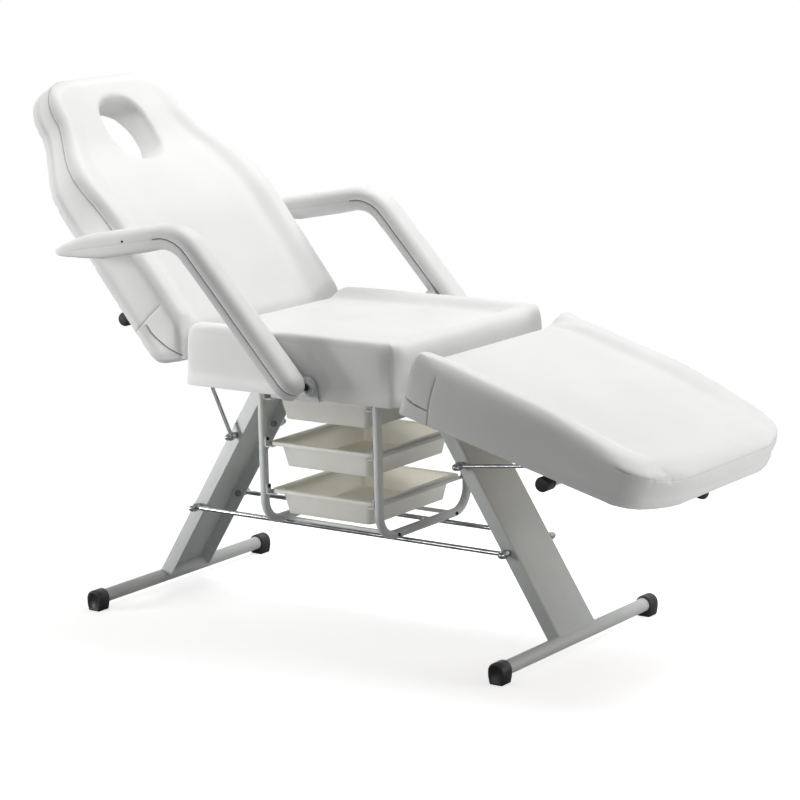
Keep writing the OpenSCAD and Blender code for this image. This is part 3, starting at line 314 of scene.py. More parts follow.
def ease_edges(piece, width, segments, angle, **settings):
    """Rounds the edges that turn by more than angle degrees; width is in mm."""
    modifier(piece, "BEVEL", width=width * MM, segments=segments, limit_method="ANGLE",
             angle_limit=math.radians(angle), profile=0.5, **settings)


def round_corners(bm, corners, radius, segments):
    bmesh.ops.bevel(bm, geom=corners, offset=radius, offset_type="OFFSET", segments=segments,
                    profile=0.5, affect="VERTICES", material=-1)


def both_sides(half):
    """A closed outline of (along, across, radius) from that of the near side."""
    return half + [(a, -w, radius) for a, w, radius in reversed(half)]


def rounded_face(bm, corners, segments):
    """A face through corners of (place, radius), with the corners rounded off."""
    verts = [bm.verts.new(place) for place, _ in corners]
    bm.faces.new(verts)
    for vert, (_, radius) in zip(verts, corners):
        if radius:
            round_corners(bm, [vert], radius, segments)


def pull_out(bm, vec):
    """Makes a flat shape a solid."""
    made = bmesh.ops.extrude_face_region(bm, geom=bm.faces[:])
    bmesh.ops.translate(bm, vec=vec,
                        verts=[v for v in made["geom"] if isinstance(v, bmesh.types.BMVert)])


def to_frame(bm, height=0):
    """Takes a shape drawn in mm to its place in the frame, raised by a height in mm."""
    bmesh.ops.scale(bm, vec=(MM, MM, MM), verts=bm.verts[:])
    bmesh.ops.translate(bm, vec=spot(0, 0, height), verts=bm.verts[:])


SHEET_PARTS = ("near_side_rail", "far_side_rail", "end_rails", "cross_rails", "back_rails",
               "back_cross_rails", "rest_rails", "rest_cross_rails", "near_arm_bracket",
               "far_arm_bracket", "arm_mounts", "rack_foot_plates")
WELD, FLAT_ANGLE = 0.02, 0.5  # mm between merged points, degrees between merged faces


def softened(name):
    """A CAD node's shape with its hard edges eased, as pressed and coated steel has them."""
    bm = bmesh.new()
    bm.from_mesh(NODES[name].data)
    bmesh.ops.remove_doubles(bm, verts=bm.verts[:], dist=WELD * MM)
    bmesh.ops.dissolve_limit(bm, angle_limit=math.radians(FLAT_ANGLE), verts=bm.verts[:],
                             edges=bm.edges[:], use_dissolve_boundaries=False)
    piece = piece_from(bm, name + "_eased")
    ease_edges(piece, 0.8, 2, 35, harden_normals=True)
    finish_piece(piece, name)


def lathe(bm, profile, centre, axis, steps=32):
    """Spins a profile of (radius, height) in mm about an axis through centre."""
    axis = Vector(axis).normalized()
    side = axis.orthogonal().normalized()
    verts = [bm.verts.new(centre + side * (r * MM) + axis * (h * MM)) for r, h in profile]
    edges = [bm.edges.new(pair) for pair in zip(verts, verts[1:])]
    bmesh.ops.spin(bm, geom=verts + edges, cent=centre, axis=axis, angle=2 * math.pi,
                   steps=steps, use_merge=True, use_duplicate=False)
    bmesh.ops.remove_doubles(bm, verts=bm.verts[:], dist=0.01 * MM)


# Cushions, shaped in mm as along (a), across (w) and out of the board (z)
def board_frame(x, z, way, lean=0):
    """The matrix from a board's own mm to the frame. The board runs to the foot for way 1 and
    to the head for way -1."""
    cos, sin = math.cos(math.radians(lean)), math.sin(math.radians(lean))
    along, out = Vector((way * cos, 0, -way * sin)), Vector((sin, 0, cos))
    turn = Matrix((along, out.cross(along), out)).transposed().to_4x4()
    return Matrix.Translation(spot(x, 0, z)) @ turn @ Matrix.Scale(MM, 4)


SEAT_FRAME = board_frame(0, 526, 1)
BACK_FRAME = board_frame(-331, 568, -1, 51)
REST_FRAME = board_frame(281, 522, 1, 14.5)


def smooth_step(x):
    t = np.clip(x, 0, 1)
    return t * t * (3 - 2 * t)


def rolled(x):
    """0 to 1 along a quarter circle."""
    return np.sqrt(np.clip(1 - (1 - np.clip(x, 0, 1)) ** 2, 0, 1))


def flowing(a, at, values, reach=36):
    """The value along a line through corners, with the corners rounded off."""
    return sum(np.interp(a + k * reach / 3, at, values) for k in range(-3, 4)) / 7


def shouldered(x):
    """0 to 1 along a slope that begins with a short round and ends in a soft ridge."""
    return 0.35 * rolled(x) + 0.65 * smooth_step(x)


def plan_outline(corners):
    """A flat shape in mm through corners of (along, across, radius), and its outline."""
    bm = bmesh.new()
    rounded_face(bm, [((a, w, 0), radius) for a, w, radius in corners], 10)
    bm.faces.ensure_lookup_table()
    return bm, np.array([v.co[:2] for v in bm.faces[0].verts])


def edge_distance(outline, a, w):
    """How far points lie inside the outline, and the outward direction there."""
    best = np.full(len(a), np.inf)
    out_a, out_w = np.zeros(len(a)), np.zeros(len(a))
    nxt = np.roll(outline, -1, axis=0)
    for (ax, ay), (bx, by) in zip(outline, nxt):
        dx, dy = bx - ax, by - ay
        length = math.hypot(dx, dy)
        t = np.clip(((a - ax) * dx + (w - ay) * dy) / length ** 2, 0, 1)
        gap = np.hypot(a - ax - t * dx, w - ay - t * dy)
        near = gap < best
        best = np.where(near, gap, best)
        out_a = np.where(near, dy / length, out_a)
        out_w = np.where(near, -dx / length, out_w)
    return best, out_a, out_w


def cushion_blank(name, corners, depth, voxel, hole=None):
    """A flat slab of even quads in the plan's outline, in metres, from 0 to depth."""
    bm, outline = plan_outline(corners)
    pull_out(bm, (0, 0, depth))
    bmesh.ops.scale(bm, vec=(MM, MM, MM), verts=bm.verts[:])
    piece = piece_from(bm, name)
    if hole:
        centre, half_along, half_across = hole
        cutter = bmesh.new()
        place = (Matrix.Translation((centre * MM, 0, depth / 2 * MM))
                 @ Matrix.Diagonal((half_along * MM, half_across * MM, depth * 3 * MM, 1)))
        bmesh.ops.create_cone(cutter, cap_ends=True, segments=64, radius1=1, radius2=1, depth=1,
                              matrix=place)
        tool = piece_from(cutter, name + "_cutter")
        modifier(piece, "BOOLEAN", operation="DIFFERENCE", object=tool, solver="EXACT")
        baked(piece)
        bpy.data.objects.remove(tool)
    modifier(piece, "REMESH", mode="VOXEL", voxel_size=voxel * MM, use_smooth_shade=True)
    baked(piece)
    return piece, outline


HELD_STEPS = 20  # how firmly points are held is told apart in so many steps
CLOTH = {"vertex_group_mass": "held", "quality": 6, "mass": 0.4, "tension_stiffness": 12,
         "compression_stiffness": 12, "shear_stiffness": 6, "bending_stiffness": 0.6,
         "use_pressure": True, "uniform_pressure_force": 4.0}
SWELL_FRAMES = 20


def puffed(piece, held, cap):
    """Swells a cushion as a sewn cover does over foam, by at most cap mm. held is how firmly
    each point is kept, from 0 to 1."""
    group = piece.vertex_groups.new(name="held")
    for level in range(1, HELD_STEPS + 1):
        which = np.nonzero(np.round(held * HELD_STEPS) == level)[0]
        if len(which):
            group.add(which.tolist(), level / HELD_STEPS, "REPLACE")
    start = points_of(piece)
    cloth = modifier(piece, "CLOTH")
    for key, value in CLOTH.items():
        setattr(cloth.settings, key, value)
    cloth.settings.effector_weights.gravity = 0
    cloth.collision_settings.use_collision = False
    cloth.point_cache.frame_start = 1
    cloth.point_cache.frame_end = SWELL_FRAMES
    for step in range(1, SWELL_FRAMES + 1):
        bpy.context.scene.frame_set(step)
    baked(piece)
    moved = points_of(piece) - start
    size = np.linalg.norm(moved, axis=1, keepdims=True)
    moved *= np.minimum(1, cap * MM / np.maximum(size, 1e-9))
    set_points(piece, start + moved)
    piece.vertex_groups.clear()
    bpy.context.scene.frame_set(1)


def refine(piece):
    modifier(piece, "SUBSURF", levels=1, render_levels=1)
    baked(piece)


OFF_COVER = 14  # mm that a seam's line may be drawn off the cover and still mark it


def line_distance(points, line, normals):
    """Distance of each point from a polyline of 3-D points, all in mm. It is measured along the
    cover, so that a line drawn a few mm off it still marks it."""
    best = np.full(len(points), np.inf)
    shift = np.zeros_like(points)
    line = np.array(line, float)
    for a, b in zip(line, line[1:]):
        d = b - a
        t = np.clip((points - a) @ d / max(d @ d, 1e-9), 0, 1)
        off = points - a - t[:, None] * d
        gap = np.linalg.norm(off, axis=1)
        near = gap < best
        best = np.where(near, gap, best)
        shift = np.where(near[:, None], off, shift)
    deep = np.sum(shift * normals, axis=1)
    along = np.sqrt(np.maximum(best ** 2 - deep ** 2, 0))
    return np.where(np.abs(deep) < OFF_COVER, along, best)


def face_outward(piece):
    with edited(piece) as bm:
        bmesh.ops.recalc_face_normals(bm, faces=bm.faces[:])


def spread_points(piece, frame_matrix, co):
    """Sets a cushion's points, given in its own mm, and puts them in the frame."""
    turn = np.array(frame_matrix.to_3x3())
    set_points(piece, co @ turn.T + np.array(frame_matrix.translation))
    face_outward(piece)


def local_points(piece, frame_matrix):
    back = frame_matrix.inverted()
    return points_of(piece) @ np.array(back.to_3x3()).T + np.array(back.translation)


def local_normals(piece, frame_matrix):
    return points_of(piece, "normal") @ (np.array(frame_matrix.to_3x3()) / MM)


def eased(piece, free=None):
    """Smooths a mesh once, or only the points that a mask leaves free."""
    with edited(piece) as bm:
        verts = [v for v in bm.verts if free is None or free[v.index]]
        bmesh.ops.smooth_vert(bm, verts=verts, factor=0.5, use_axis_x=True, use_axis_y=True,
                              use_axis_z=True)


def finer_along(piece, frame_matrix, lines, reach=9):
    """Splits the mesh once more beside seams, so that they stay crisp."""
    co, normals = local_points(piece, frame_matrix), local_normals(piece, frame_matrix)
    near = np.zeros(len(co), bool)
    for line, _, _ in lines:
        near |= line_distance(co, line, normals) < reach
    with edited(piece) as bm:
        edges = [e for e in bm.edges if near[e.verts[0].index] or near[e.verts[1].index]]
        bmesh.ops.subdivide_edges(bm, edges=edges, cuts=1, use_grid_fill=True, smooth=0.0)
    shade_smooth(piece)


def sewn(piece, frame_matrix, lines, width=2.4, firm=-math.inf):
    """Draws the cover in along seams, and paints shade into their creases. Each line is (points,
    depth in mm, darkness of the painted shade). Below the height firm the cover lies on wood and
    is not drawn in."""
    finer_along(piece, frame_matrix, lines)
    co, normals = local_points(piece, frame_matrix), local_normals(piece, frame_matrix)
    sink, painted_seam_shade = np.zeros(len(co)), np.zeros(len(co))
    for line, depth, tone in lines:
        gap = line_distance(co, line, normals)
        # a narrow groove in a wide shallow one, with a line of painted shade at the stitches
        sink = np.maximum(sink, depth * (0.65 * np.exp(-(gap / width) ** 2)
                                         + 0.35 * np.exp(-(gap / (4 * width)) ** 2)))
        painted_seam_shade = np.maximum(painted_seam_shade, tone * np.exp(-(gap / (0.7 * width)) ** 4))
    sink *= smooth_step((co[:, 2] - firm) / 6)
    turn = np.array(frame_matrix.to_3x3())
    set_points(piece, points_of(piece) - (normals @ turn.T) * sink[:, None])
    # the painted seam shade goes to the vinyl as its seam attribute
    seam = piece.data.attributes.new("seam", "FLOAT", "POINT")
    seam.data.foreach_set("value", painted_seam_shade.astype(np.float32))


# The cover goes round the board's edge and is stapled under it: its thickness there, how far
# it reaches in, how thick the board is, and how much the side swells between its edges
WRAP, FLAP, BOARD, BELLY = 1.5, 26, 12, 1.6
COVER_SHY = 3  # mm that a cushion starts short of its full shape, before it swells
RIM, SIDE = 0.07, (0.02, 0.24)  # shares of the depth that make the lower rim and lower side
CUSHION_VOXEL, CUSHION_DEPTH, CUSHION_SWELL, CUSHION_FILL = 6.0, 80, 5, 0.75
LOOSE, TIGHT = 0.12, 1.0  # how firmly the cover is held over foam and over wood


def height_of(share, top, edge, hole_edge=np.inf):
    """Height from the underside to the top for a share of the depth."""
    low = -WRAP + (WRAP + 5) * smooth_step((np.minimum(edge, hole_edge) - FLAP) / 6)
    return low + share * (top - low)


def wall_inset(z, top, edge):
    """How far the side is drawn in: close over the board's edge, and swelling above it."""
    above = smooth_step((z - BOARD - 1) / 7)
    rise = np.clip((z - BOARD - 1) / np.maximum(top - BOARD - 1, 1), 0, 1)
    belly = BELLY * (1 - np.sin(rise * math.pi)) * above
    shy = COVER_SHY * above * np.clip(1 - edge / 60, 0, 1)
    return shy + belly * np.clip(1 - edge / 24, 0, 1)


def squared(share, gap):
    """Which points make the lower rim, where the cover turns under the board."""
    return (share < RIM) & (gap < 0.7 * CUSHION_VOXEL)


def cushion(name, node, frame_matrix, corners, shape, lines, hole=None):
    """A padded cover over a board; shape gives its points from a place in the plan, a share of
    the depth, the distance from the edge and the way out to it."""
    piece, outline = cushion_blank(name, corners, CUSHION_DEPTH, CUSHION_VOXEL, hole)
    co = points_of(piece) / MM
    a, w, share = co[:, 0], co[:, 1], np.clip(co[:, 2] / CUSHION_DEPTH, 0, 1)
    edge, out_a, out_w = edge_distance(outline, a, w)
    edge = np.maximum(edge - CUSHION_VOXEL * 0.1, 0)
    rim = squared(share, edge)
    side = rim | ((share > SIDE[0]) & (share < SIDE[1]) & (edge < 0.9 * CUSHION_VOXEL))
    a, w = np.where(side, a + out_a * edge, a), np.where(side, w + out_w * edge, w)
    share, edge = np.where(rim, 0, share), np.where(side, 0, edge)
    a, w, z = shape(a, w, share, edge, out_a, out_w)
    spread_points(piece, frame_matrix, np.column_stack((a, w, z)))
    free = z > BOARD + 4
    eased(piece, free)
    puffed(piece, np.where(free, LOOSE, TIGHT), CUSHION_SWELL)
    eased(piece, free)
    refine(piece)
    sewn(piece, frame_matrix, lines, firm=BOARD + 1)
    finish_piece(piece, node)


# Seat: its ends and half width, the heights of its side rolls and of the seam below them, how
# deep it dips between the rolls, how it rolls over its edges, and where the rolls rise
SEAT_HEAD, SEAT_FOOT, SEAT_HALF = -256, 284.5, 289
SEAT_CREST, SEAT_SEAM, SEAT_DISH, SEAT_ROLL = 129, 114, 18, 17
SEAT_ROLLS = (0.72, 0.87)


def rim_line(corners, start, height):
    """The outline from one side at start, round the far end to the other side, at a height."""
    bm, outline = plan_outline(corners)
    bm.free()
    run = sorted(((a, w) for a, w in outline if a > start),
                 key=lambda p: math.atan2(p[1], p[0] - start + 1))
    full = []
    for (a0, w0), (a1, w1) in zip(run, run[1:]):
        steps = max(1, int(math.hypot(a1 - a0, w1 - w0) / 20))
        full += [(a0 + (a1 - a0) * k / steps, w0 + (w1 - w0) * k / steps) for k in range(steps)]
    full.append(run[-1])
    return [(a, w, float(height(a))) for a, w in full]


def bolstered(w, half, dish, flat, crest):
    """The dip of a cushion between its side rolls, which rise from flat to crest, both shares
    of the half width."""
    return dish * (1 - smooth_step((np.abs(w) / half - flat) / (crest - flat)))


def seat_shape(a, w, share, edge, out_a, out_w):
    crest = SEAT_CREST - COVER_SHY + 1
    foot_rise = 1 - 0.7 * smooth_step((a - SEAT_FOOT + 84) / 44)
    top = crest - bolstered(w, SEAT_HALF, SEAT_DISH, *SEAT_ROLLS) * foot_rise
    # the cover is drawn down at the corners, and rolls over the foot end in a wide round
    corner = smooth_step((np.abs(w) - SEAT_HALF + 80) / 70) * (
        smooth_step((a - SEAT_FOOT + 90) / 75) + smooth_step((SEAT_HEAD + 80 - a) / 70))
    foot = smooth_step(out_a) * (a > 0)
    roll = SEAT_ROLL + 18 * np.maximum(corner, foot)
    drop = crest - SEAT_SEAM + 13 * np.maximum(corner, foot)
    top -= drop * (1 - rolled(edge / roll))
    z = height_of(share, top, edge)
    inset = wall_inset(z, top, edge)
    tip = smooth_step((np.abs(w) - SEAT_HALF + 44) / 40) * smooth_step((a - SEAT_FOOT + 44) / 40)
    inset += 10 * tip * smooth_step((z - 18) / 60) * np.clip(1 - edge / 40, 0, 1)
    return a - out_a * inset, w - out_w * inset, z


def make_seat():
    corners = both_sides([(SEAT_HEAD, -SEAT_HALF, 24), (SEAT_FOOT, -SEAT_HALF, 18)])
    lines = [([(SEAT_HEAD + 60, side * SEAT_HALF, SEAT_SEAM - 1),
               (SEAT_FOOT - 70, side * SEAT_HALF, SEAT_SEAM - 1)], 0.5, 0.04)
             for side in SIDES]
    cushion("seat_upholstery", "seat_cushion", SEAT_FRAME, corners, seat_shape, lines)


# Back rest: its size, the middle and half sizes of the face hole, and how far its lower end
# bulges. The tables give the half width, how thick the body is, and the bulge up its height.
BACK_LEN, BACK_HALF, HEAD_HALF = 682, 289, 206
HOLE_AT, HOLE_A, HOLE_W, HOLE_SQUARE = 529, 77, 66, 2.8
NOSE, NOSE_REACH, BACK_ROLLS = 43, 70, (0.66, 0.86)
SIDE_AT = (0, 246, 362, 396, 421, 450, 480, 510, 540, 563, 682)
SIDE_HALF = (289, 293, 296, 293, 288, 275, 257, 238, 221, 212, 206)
TAPER_AT = np.array([0, 0.45, 0.56, 0.64, 0.72, 1.0]) * BACK_LEN
TAPER = (1, 1, 0.66, 0.36, 0, 0)
NOSE_AT = (0, 0.11, 0.17, 0.3, 0.48, 0.56, 0.76, 0.88, 1.0)
NOSE_SHARES = (0.3, 0.46, 0.62, 0.85, 1.0, 0.98, 0.4, 0.02, -0.34)


def back_seam(a):
    return 55 + 37 * flowing(a, TAPER_AT, TAPER)


def back_shape(a, w, share, edge, out_a, out_w):
    crest = 67 + 40 * flowing(a, TAPER_AT, TAPER) - COVER_SHY + 3
    hole_turn = np.arctan2(w / HOLE_W, (a - HOLE_AT) / HOLE_A)
    rim_a, rim_w = HOLE_AT + HOLE_A * np.cos(hole_turn), HOLE_W * np.sin(hole_turn)
    hole_gap = np.maximum(np.hypot(a - HOLE_AT, w) - np.hypot(rim_a - HOLE_AT, rim_w), 0)
    hole_rim = squared(share, hole_gap)
    a, w = np.where(hole_rim, rim_a, a), np.where(hole_rim, rim_w, w)
    share, hole_gap = np.where(hole_rim, 0, share), np.where(hole_rim, 0, hole_gap)
    half = np.interp(a, SIDE_AT, SIDE_HALF)
    dish = 22 * flowing(a, (0, 350, 520, 640), (1, 1, 0.45, 0.2), 60)
    top = crest - bolstered(w, half, dish, *BACK_ROLLS)
    top -= (crest - back_seam(a)) * (1 - shouldered(edge / 30))
    top -= 13 * (1 - rolled(hole_gap / 17))
    z = height_of(share, top, edge, hole_gap)
    inset = wall_inset(z, top, edge)
    a, w = a - out_a * inset, w - out_w * inset
    # the hole is squarer at the top than at the board
    square = (np.abs(np.cos(hole_turn)) ** HOLE_SQUARE
              + np.abs(np.sin(hole_turn)) ** HOLE_SQUARE) ** (-1 / HOLE_SQUARE)
    push = (square - 1) * np.clip(1 - hole_gap / 30, 0, 1) * smooth_step((z - 15) / 28)
    a, w = a + (rim_a - HOLE_AT) * push, w + rim_w * push
    lean = np.interp(z / 105, NOSE_AT, NOSE_SHARES)
    a = a - NOSE * lean * np.clip(1 - np.maximum(a, 0) / NOSE_REACH, 0, 1)
    return a, w, z


def make_back():
    sides = [(a, -half, 0) for a, half in zip(SIDE_AT[1:-1], SIDE_HALF[1:-1])]
    corners = both_sides([(0, -BACK_HALF, 28), *sides, (BACK_LEN, -HEAD_HALF, 106)])
    lines = [(rim_line(corners, 230, lambda a: back_seam(a) - 1), 1.6, 0.6)]
    for side in SIDES:
        y = side * BACK_HALF
        lines.append(([(74, y, -2), (78, y, 45), (80, y, 92)], 1.4, 0.45))
        lines.append(([(67, y, 30), (52, y, 29), (36, y, 32), (18, y, 38), (0, y, 45),
                       (-16, y * 0.985, 52), (-30, y * 0.95, 58)], 3.2, 1.0))
    cushion("back_upholstery", "back_cushion", BACK_FRAME, corners, back_shape, lines,
            (HOLE_AT, HOLE_A, HOLE_W))


# Leg rest: its ends and half width, and tables of the heights of its side rolls and seam
REST_NEAR, REST_FAR, REST_HALF, REST_ROLLS = 6.5, 605, 293, (0.69, 0.88)
REST_AT = (0, 302, 351, 399, 472, 508, 605)
REST_CREST = (124, 119.4, 113.4, 106, 96, 90.4, 78)
REST_SEAM = (104, 100, 94, 87, 77, 72, 60)


def rest_seam(a):
    return np.interp(a, REST_AT, REST_SEAM)


def rest_shape(a, w, share, edge, out_a, out_w):
    crest = flowing(a, REST_AT, REST_CREST) - COVER_SHY + 1
    crest = crest + 8 * smooth_step((330 - a) / 300)
    dish = flowing(a, (0, 330, 480, 580), (24, 23, 16, 0))
    top = crest - bolstered(w, REST_HALF, dish, *REST_ROLLS)
    roll = np.interp(a, (8, 75, 420, 605), (15, 33, 33, 58))
    roll = 11 + (roll - 11) * (1 - smooth_step(-out_a))
    top -= (crest - rest_seam(a)) * (1 - shouldered(edge / roll))
    z = height_of(share, top, edge)
    inset = wall_inset(z, top, edge)
    toe = 15 * (1 - share) * np.clip((a - (REST_FAR - 130)) / 130, 0, 1)
    return a - out_a * inset - toe, w - out_w * inset, z


def make_rest():
    corners = both_sides([(REST_NEAR, -REST_HALF, 20), (REST_FAR - 58, -REST_HALF, 41),
                          (REST_FAR, 88 - REST_HALF, 62)])
    rim = rim_line(corners, 84, lambda a: rest_seam(a) - 1)
    lines = [([p for p in rim if p[0] > 520], 0.8, 0.12)]
    for side in SIDES:
        y = side * REST_HALF
        lines.append(([p for p in rim if p[1] * side > 0 and p[0] < 540], 1.4, 0.4))
        lines.append(([(80, y, 102), (79, y, 60), (80, y, 28), (84, y, -2)], 1.6, 0.6))
        lines.append(([(6, y * 0.99, 40), (20, y, 34), (40, y, 30), (60, y, 28.5), (78, y, 28)],
                      2.6, 0.95))
    cushion("leg_rest_upholstery", "rest_cushion", REST_FRAME, corners, rest_shape, lines)


# Arms: how far out they stand, their half width, the blank's depth and the pad's dome. The
# board's line rises to a rounded corner and falls to the seat.
ARM_Y, ARM_HALF, ARM_DEPTH, ARM_DOME = 338, 35, 44, 29
ARM_RISE, ARM_FALL = math.radians(9.4), math.radians(47.5)
ARM_APEX, ARM_RADIUS = (-200.0, 846.5), 85
ARM_TANGENT = ARM_RADIUS * math.tan((ARM_RISE + ARM_FALL) / 2)
ARM_UPPER, ARM_LOWER = 342 - ARM_TANGENT, 418 - ARM_TANGENT
ARM_BEND = ARM_RADIUS * (ARM_RISE + ARM_FALL)
ARM_LENGTH = ARM_UPPER + ARM_BEND + ARM_LOWER
ARM_VOXEL, ARM_FILL = 4.0, 0.85
# How deep the padded underside hangs below the board's top, along the arm from its tip
UNDER_AT = (0, 40, 90, 140, 260, 340, 430)
UNDER_DEPTH = (6, 12, 20, 26, 25, 21, 18)


def arm_place(s, height):
    """X and Z in mm of points s along an arm from its tip and height over its board."""
    turn = np.clip((s - ARM_UPPER) / ARM_RADIUS, 0, ARM_RISE + ARM_FALL) - ARM_RISE
    start_x = ARM_APEX[0] - ARM_TANGENT * math.cos(ARM_RISE)
    start_z = ARM_APEX[1] - ARM_TANGENT * math.sin(ARM_RISE)
    mid_x = start_x + ARM_RADIUS * math.sin(ARM_RISE)
    mid_z = start_z - ARM_RADIUS * math.cos(ARM_RISE)
    before = np.minimum(s - ARM_UPPER, 0)
    after = np.maximum(s - ARM_UPPER - ARM_BEND, 0)
    x = mid_x + (ARM_RADIUS + height) * np.sin(turn) + (before + after) * np.cos(turn)
    z = mid_z + (ARM_RADIUS + height) * np.cos(turn) - (before + after) * np.sin(turn)
    return x, z


def arm_points(s, w, height):
    """Points of the near arm in the frame; w is across it, from its middle."""
    x, z = arm_place(s, height)
    return np.column_stack(np.broadcast_arrays(x - MIDDLE, w - ARM_Y, z)) * MM


def make_arms():
    end = ARM_HALF - 0.2
    corners = both_sides([(0, -ARM_HALF, end), (ARM_LENGTH, -ARM_HALF, end)])
    piece, outline = cushion_blank("near_arm_upholstery", corners, ARM_DEPTH, ARM_VOXEL)
    co = points_of(piece) / MM
    s, w, share = co[:, 0], co[:, 1], np.clip(co[:, 2] / ARM_DEPTH, 0, 1)
    edge, out_s, out_w = edge_distance(outline, s, w)
    edge = np.maximum(edge - ARM_VOXEL * 0.1, 0)
    thin = 0.42 + 0.58 * smooth_step((s + 8) / 110)
    top = thin * (5.5 + (ARM_DOME - 7) * rolled(edge / 30))
    under = np.interp(s, UNDER_AT, UNDER_DEPTH)
    height = -under + share * (top + under)
    # below the bend the board's side stands in a little from the pad, which swells over it
    parted = smooth_step((s - 270) / 50)
    inset = 1.6 * smooth_step((2 - height) / 6) * parted
    inset += (2.5 + 5 * (1 - parted)) * (1 - rolled((height + under) / (4 + 9 * (1 - parted))))
    inset += (0.3 + 1.5 * parted) * np.exp(-(height / 3) ** 2)
    inset *= np.clip(1 - edge / 16, 0, 1)
    s, w = s - out_s * inset, w - out_w * inset
    set_points(piece, arm_points(s, w, height))
    face_outward(piece)
    eased(piece)
    puffed(piece, np.where(height < 1, TIGHT, 0.1), 3)
    refine(piece)
    # seams between board and pad: faint beside the upper arm, deep below the bend, round the end
    lines = []
    for side, (start, stop, depth, tone) in product(SIDES, (
            (60, 285, 0.6, 0.12), (290, ARM_LENGTH - ARM_HALF, 2.4, 1))):
        seam = arm_points(np.linspace(start, stop, 24), side * ARM_HALF, 0) / MM
        lines.append((seam, depth, tone))
    turn = np.radians(np.arange(-90, 91, 15))
    seam = arm_points(ARM_LENGTH - ARM_HALF + ARM_HALF * np.cos(turn), ARM_HALF * np.sin(turn), 0)
    lines.append((seam / MM, 2.4, 1))
    sewn(piece, Matrix.Scale(MM, 4), lines, width=1.7)
    far = placed("far_arm_upholstery", piece.data.copy())
    set_points(far, points_of(far) * (1, -1, 1))
    far.data.flip_normals()
    for side, arm in (("near", piece), ("far", far)):
        finish_piece(arm, side + "_arm_board", side + "_arm_pad")


# Trays: the rims' heights, and the shell up the outside, over the lip and down the inside, as
# (half length, half width, corner radius, height over the rim)
TRAY_RIMS = {"bottom_tray": 289, "middle_tray": 391, "top_tray": 493}
TRAY_SHELL = ((109, 137, 15, -54), (119, 147, 16, -3), (133, 157, 17, -2.5),
              (133.5, 157.5, 17, -8), (136, 160, 18.5, -8), (136, 160, 18.5, -1.5),
              (134.5, 158.5, 18, 0), (118, 146, 14, -0.4), (116.5, 144.5, 13.5, -2.5),
              (108, 136, 13.5, -50), (105, 133, 12, -51.5))
TRAY_LIP = (0.1345, 0.1585)  # metres from the middle to where the cream inside ends


def rounded_loop(bm, half_x, half_y, radius, z):
    """A closed loop of edges round a soft-cornered rectangle, in mm."""
    face = bm.faces.new([bm.verts.new((x * half_x, y * half_y, z))
                         for x, y in ((-1, -1), (1, -1), (1, 1), (-1, 1))])
    round_corners(bm, face.verts[:], radius, 6)
    bm.faces.ensure_lookup_table()
    edges = bm.faces[0].edges[:]
    bmesh.ops.delete(bm, geom=[bm.faces[0]], context="FACES_KEEP_BOUNDARY")
    return edges


def make_tray(name, rim):
    bm = bmesh.new()
    loops = [rounded_loop(bm, *level) for level in TRAY_SHELL]
    for low, high in zip(loops, loops[1:]):
        bmesh.ops.bridge_loops(bm, edges=low + high)
    bmesh.ops.holes_fill(bm, edges=[e for e in bm.edges if e.is_boundary], sides=0)
    to_frame(bm, rim)
    bmesh.ops.recalc_face_normals(bm, faces=bm.faces[:])
    for face in bm.faces:
        x, y, _ = face.calc_center_median() - spot(0, 0, 0)
        inward = x * face.normal.x + y * face.normal.y < 0
        face.material_index = int(abs(x) < TRAY_LIP[0] and abs(y) < TRAY_LIP[1]
                                  and (face.normal.z > 0.1 or inward))
    piece = piece_from(bm, name + "_shell")
    ease_edges(piece, 0.9, 2, 28)
    finish_piece(piece, name, materials=(TRAY_WHITE, TRAY_CREAM))


# Steel, rubber and screws: legs as place, lean, half width, flange depth and sheet thickness
LEG_X, LEG_LEAN, LEG_HALF, LEG_DEPTH, LEG_SHEET = 550, 0.633, 69.8, 36.5, 3
LEG_FOLD, LEG_INNER_FOLD, LEG_PLATE = 5, 2.2, 4
TUBE_X, TUBE_Z, FRAME_Z = 520, 26, 506


def make_leg(name, end):
    """A leg folded from sheet, with its top plate."""
    bm = bmesh.new()
    web = LEG_SHEET * math.hypot(1, LEG_LEAN)
    x0 = LEG_X - LEG_LEAN * TUBE_Z
    inner = LEG_HALF - LEG_SHEET
    plan = both_sides([(x0 - web, -inner, LEG_INNER_FOLD), (x0 - LEG_DEPTH, -inner, 0),
                       (x0 - LEG_DEPTH, -LEG_HALF, 0), (x0, -LEG_HALF, LEG_FOLD)])
    rounded_face(bm, [((end * x, y, TUBE_Z), radius) for x, y, radius in plan], 4)
    rise = FRAME_Z - LEG_PLATE / 2 - TUBE_Z
    pull_out(bm, (-end * LEG_LEAN * rise, 0, rise))
    top = LEG_X - LEG_LEAN * FRAME_Z
    plate = Matrix.Translation((end * (top - LEG_DEPTH / 2), 0, FRAME_Z - LEG_PLATE / 2))
    bmesh.ops.create_cube(bm, size=1, matrix=plate @ Matrix.Diagonal(
        (LEG_DEPTH, 2 * LEG_HALF, LEG_PLATE, 1)))
    to_frame(bm)
    piece = piece_from(bm, name + "_folded_sheet")
    ease_edges(piece, 0.6, 2, 50, harden_normals=True)
    finish_piece(piece, name)


def at_corners(shape, x, y):
    """A bmesh of a shape, drawn in mm for the foot end's far corner, at all four corners."""
    pattern = bpy.data.meshes.new("pattern")
    shape.to_mesh(pattern)
    shape.free()
    bm = bmesh.new()
    for end, side in product(SIDES, SIDES):
        before = set(bm.verts)
        bm.from_mesh(pattern)
        place = (Matrix.Translation(spot(0, 0, 0)) @ Matrix.Diagonal((end * MM, side * MM, MM, 1))
                 @ Matrix.Translation((x, y, 0)))
        bmesh.ops.transform(bm, matrix=place, verts=[v for v in bm.verts if v not in before])
    bpy.data.meshes.remove(pattern)
    return bm


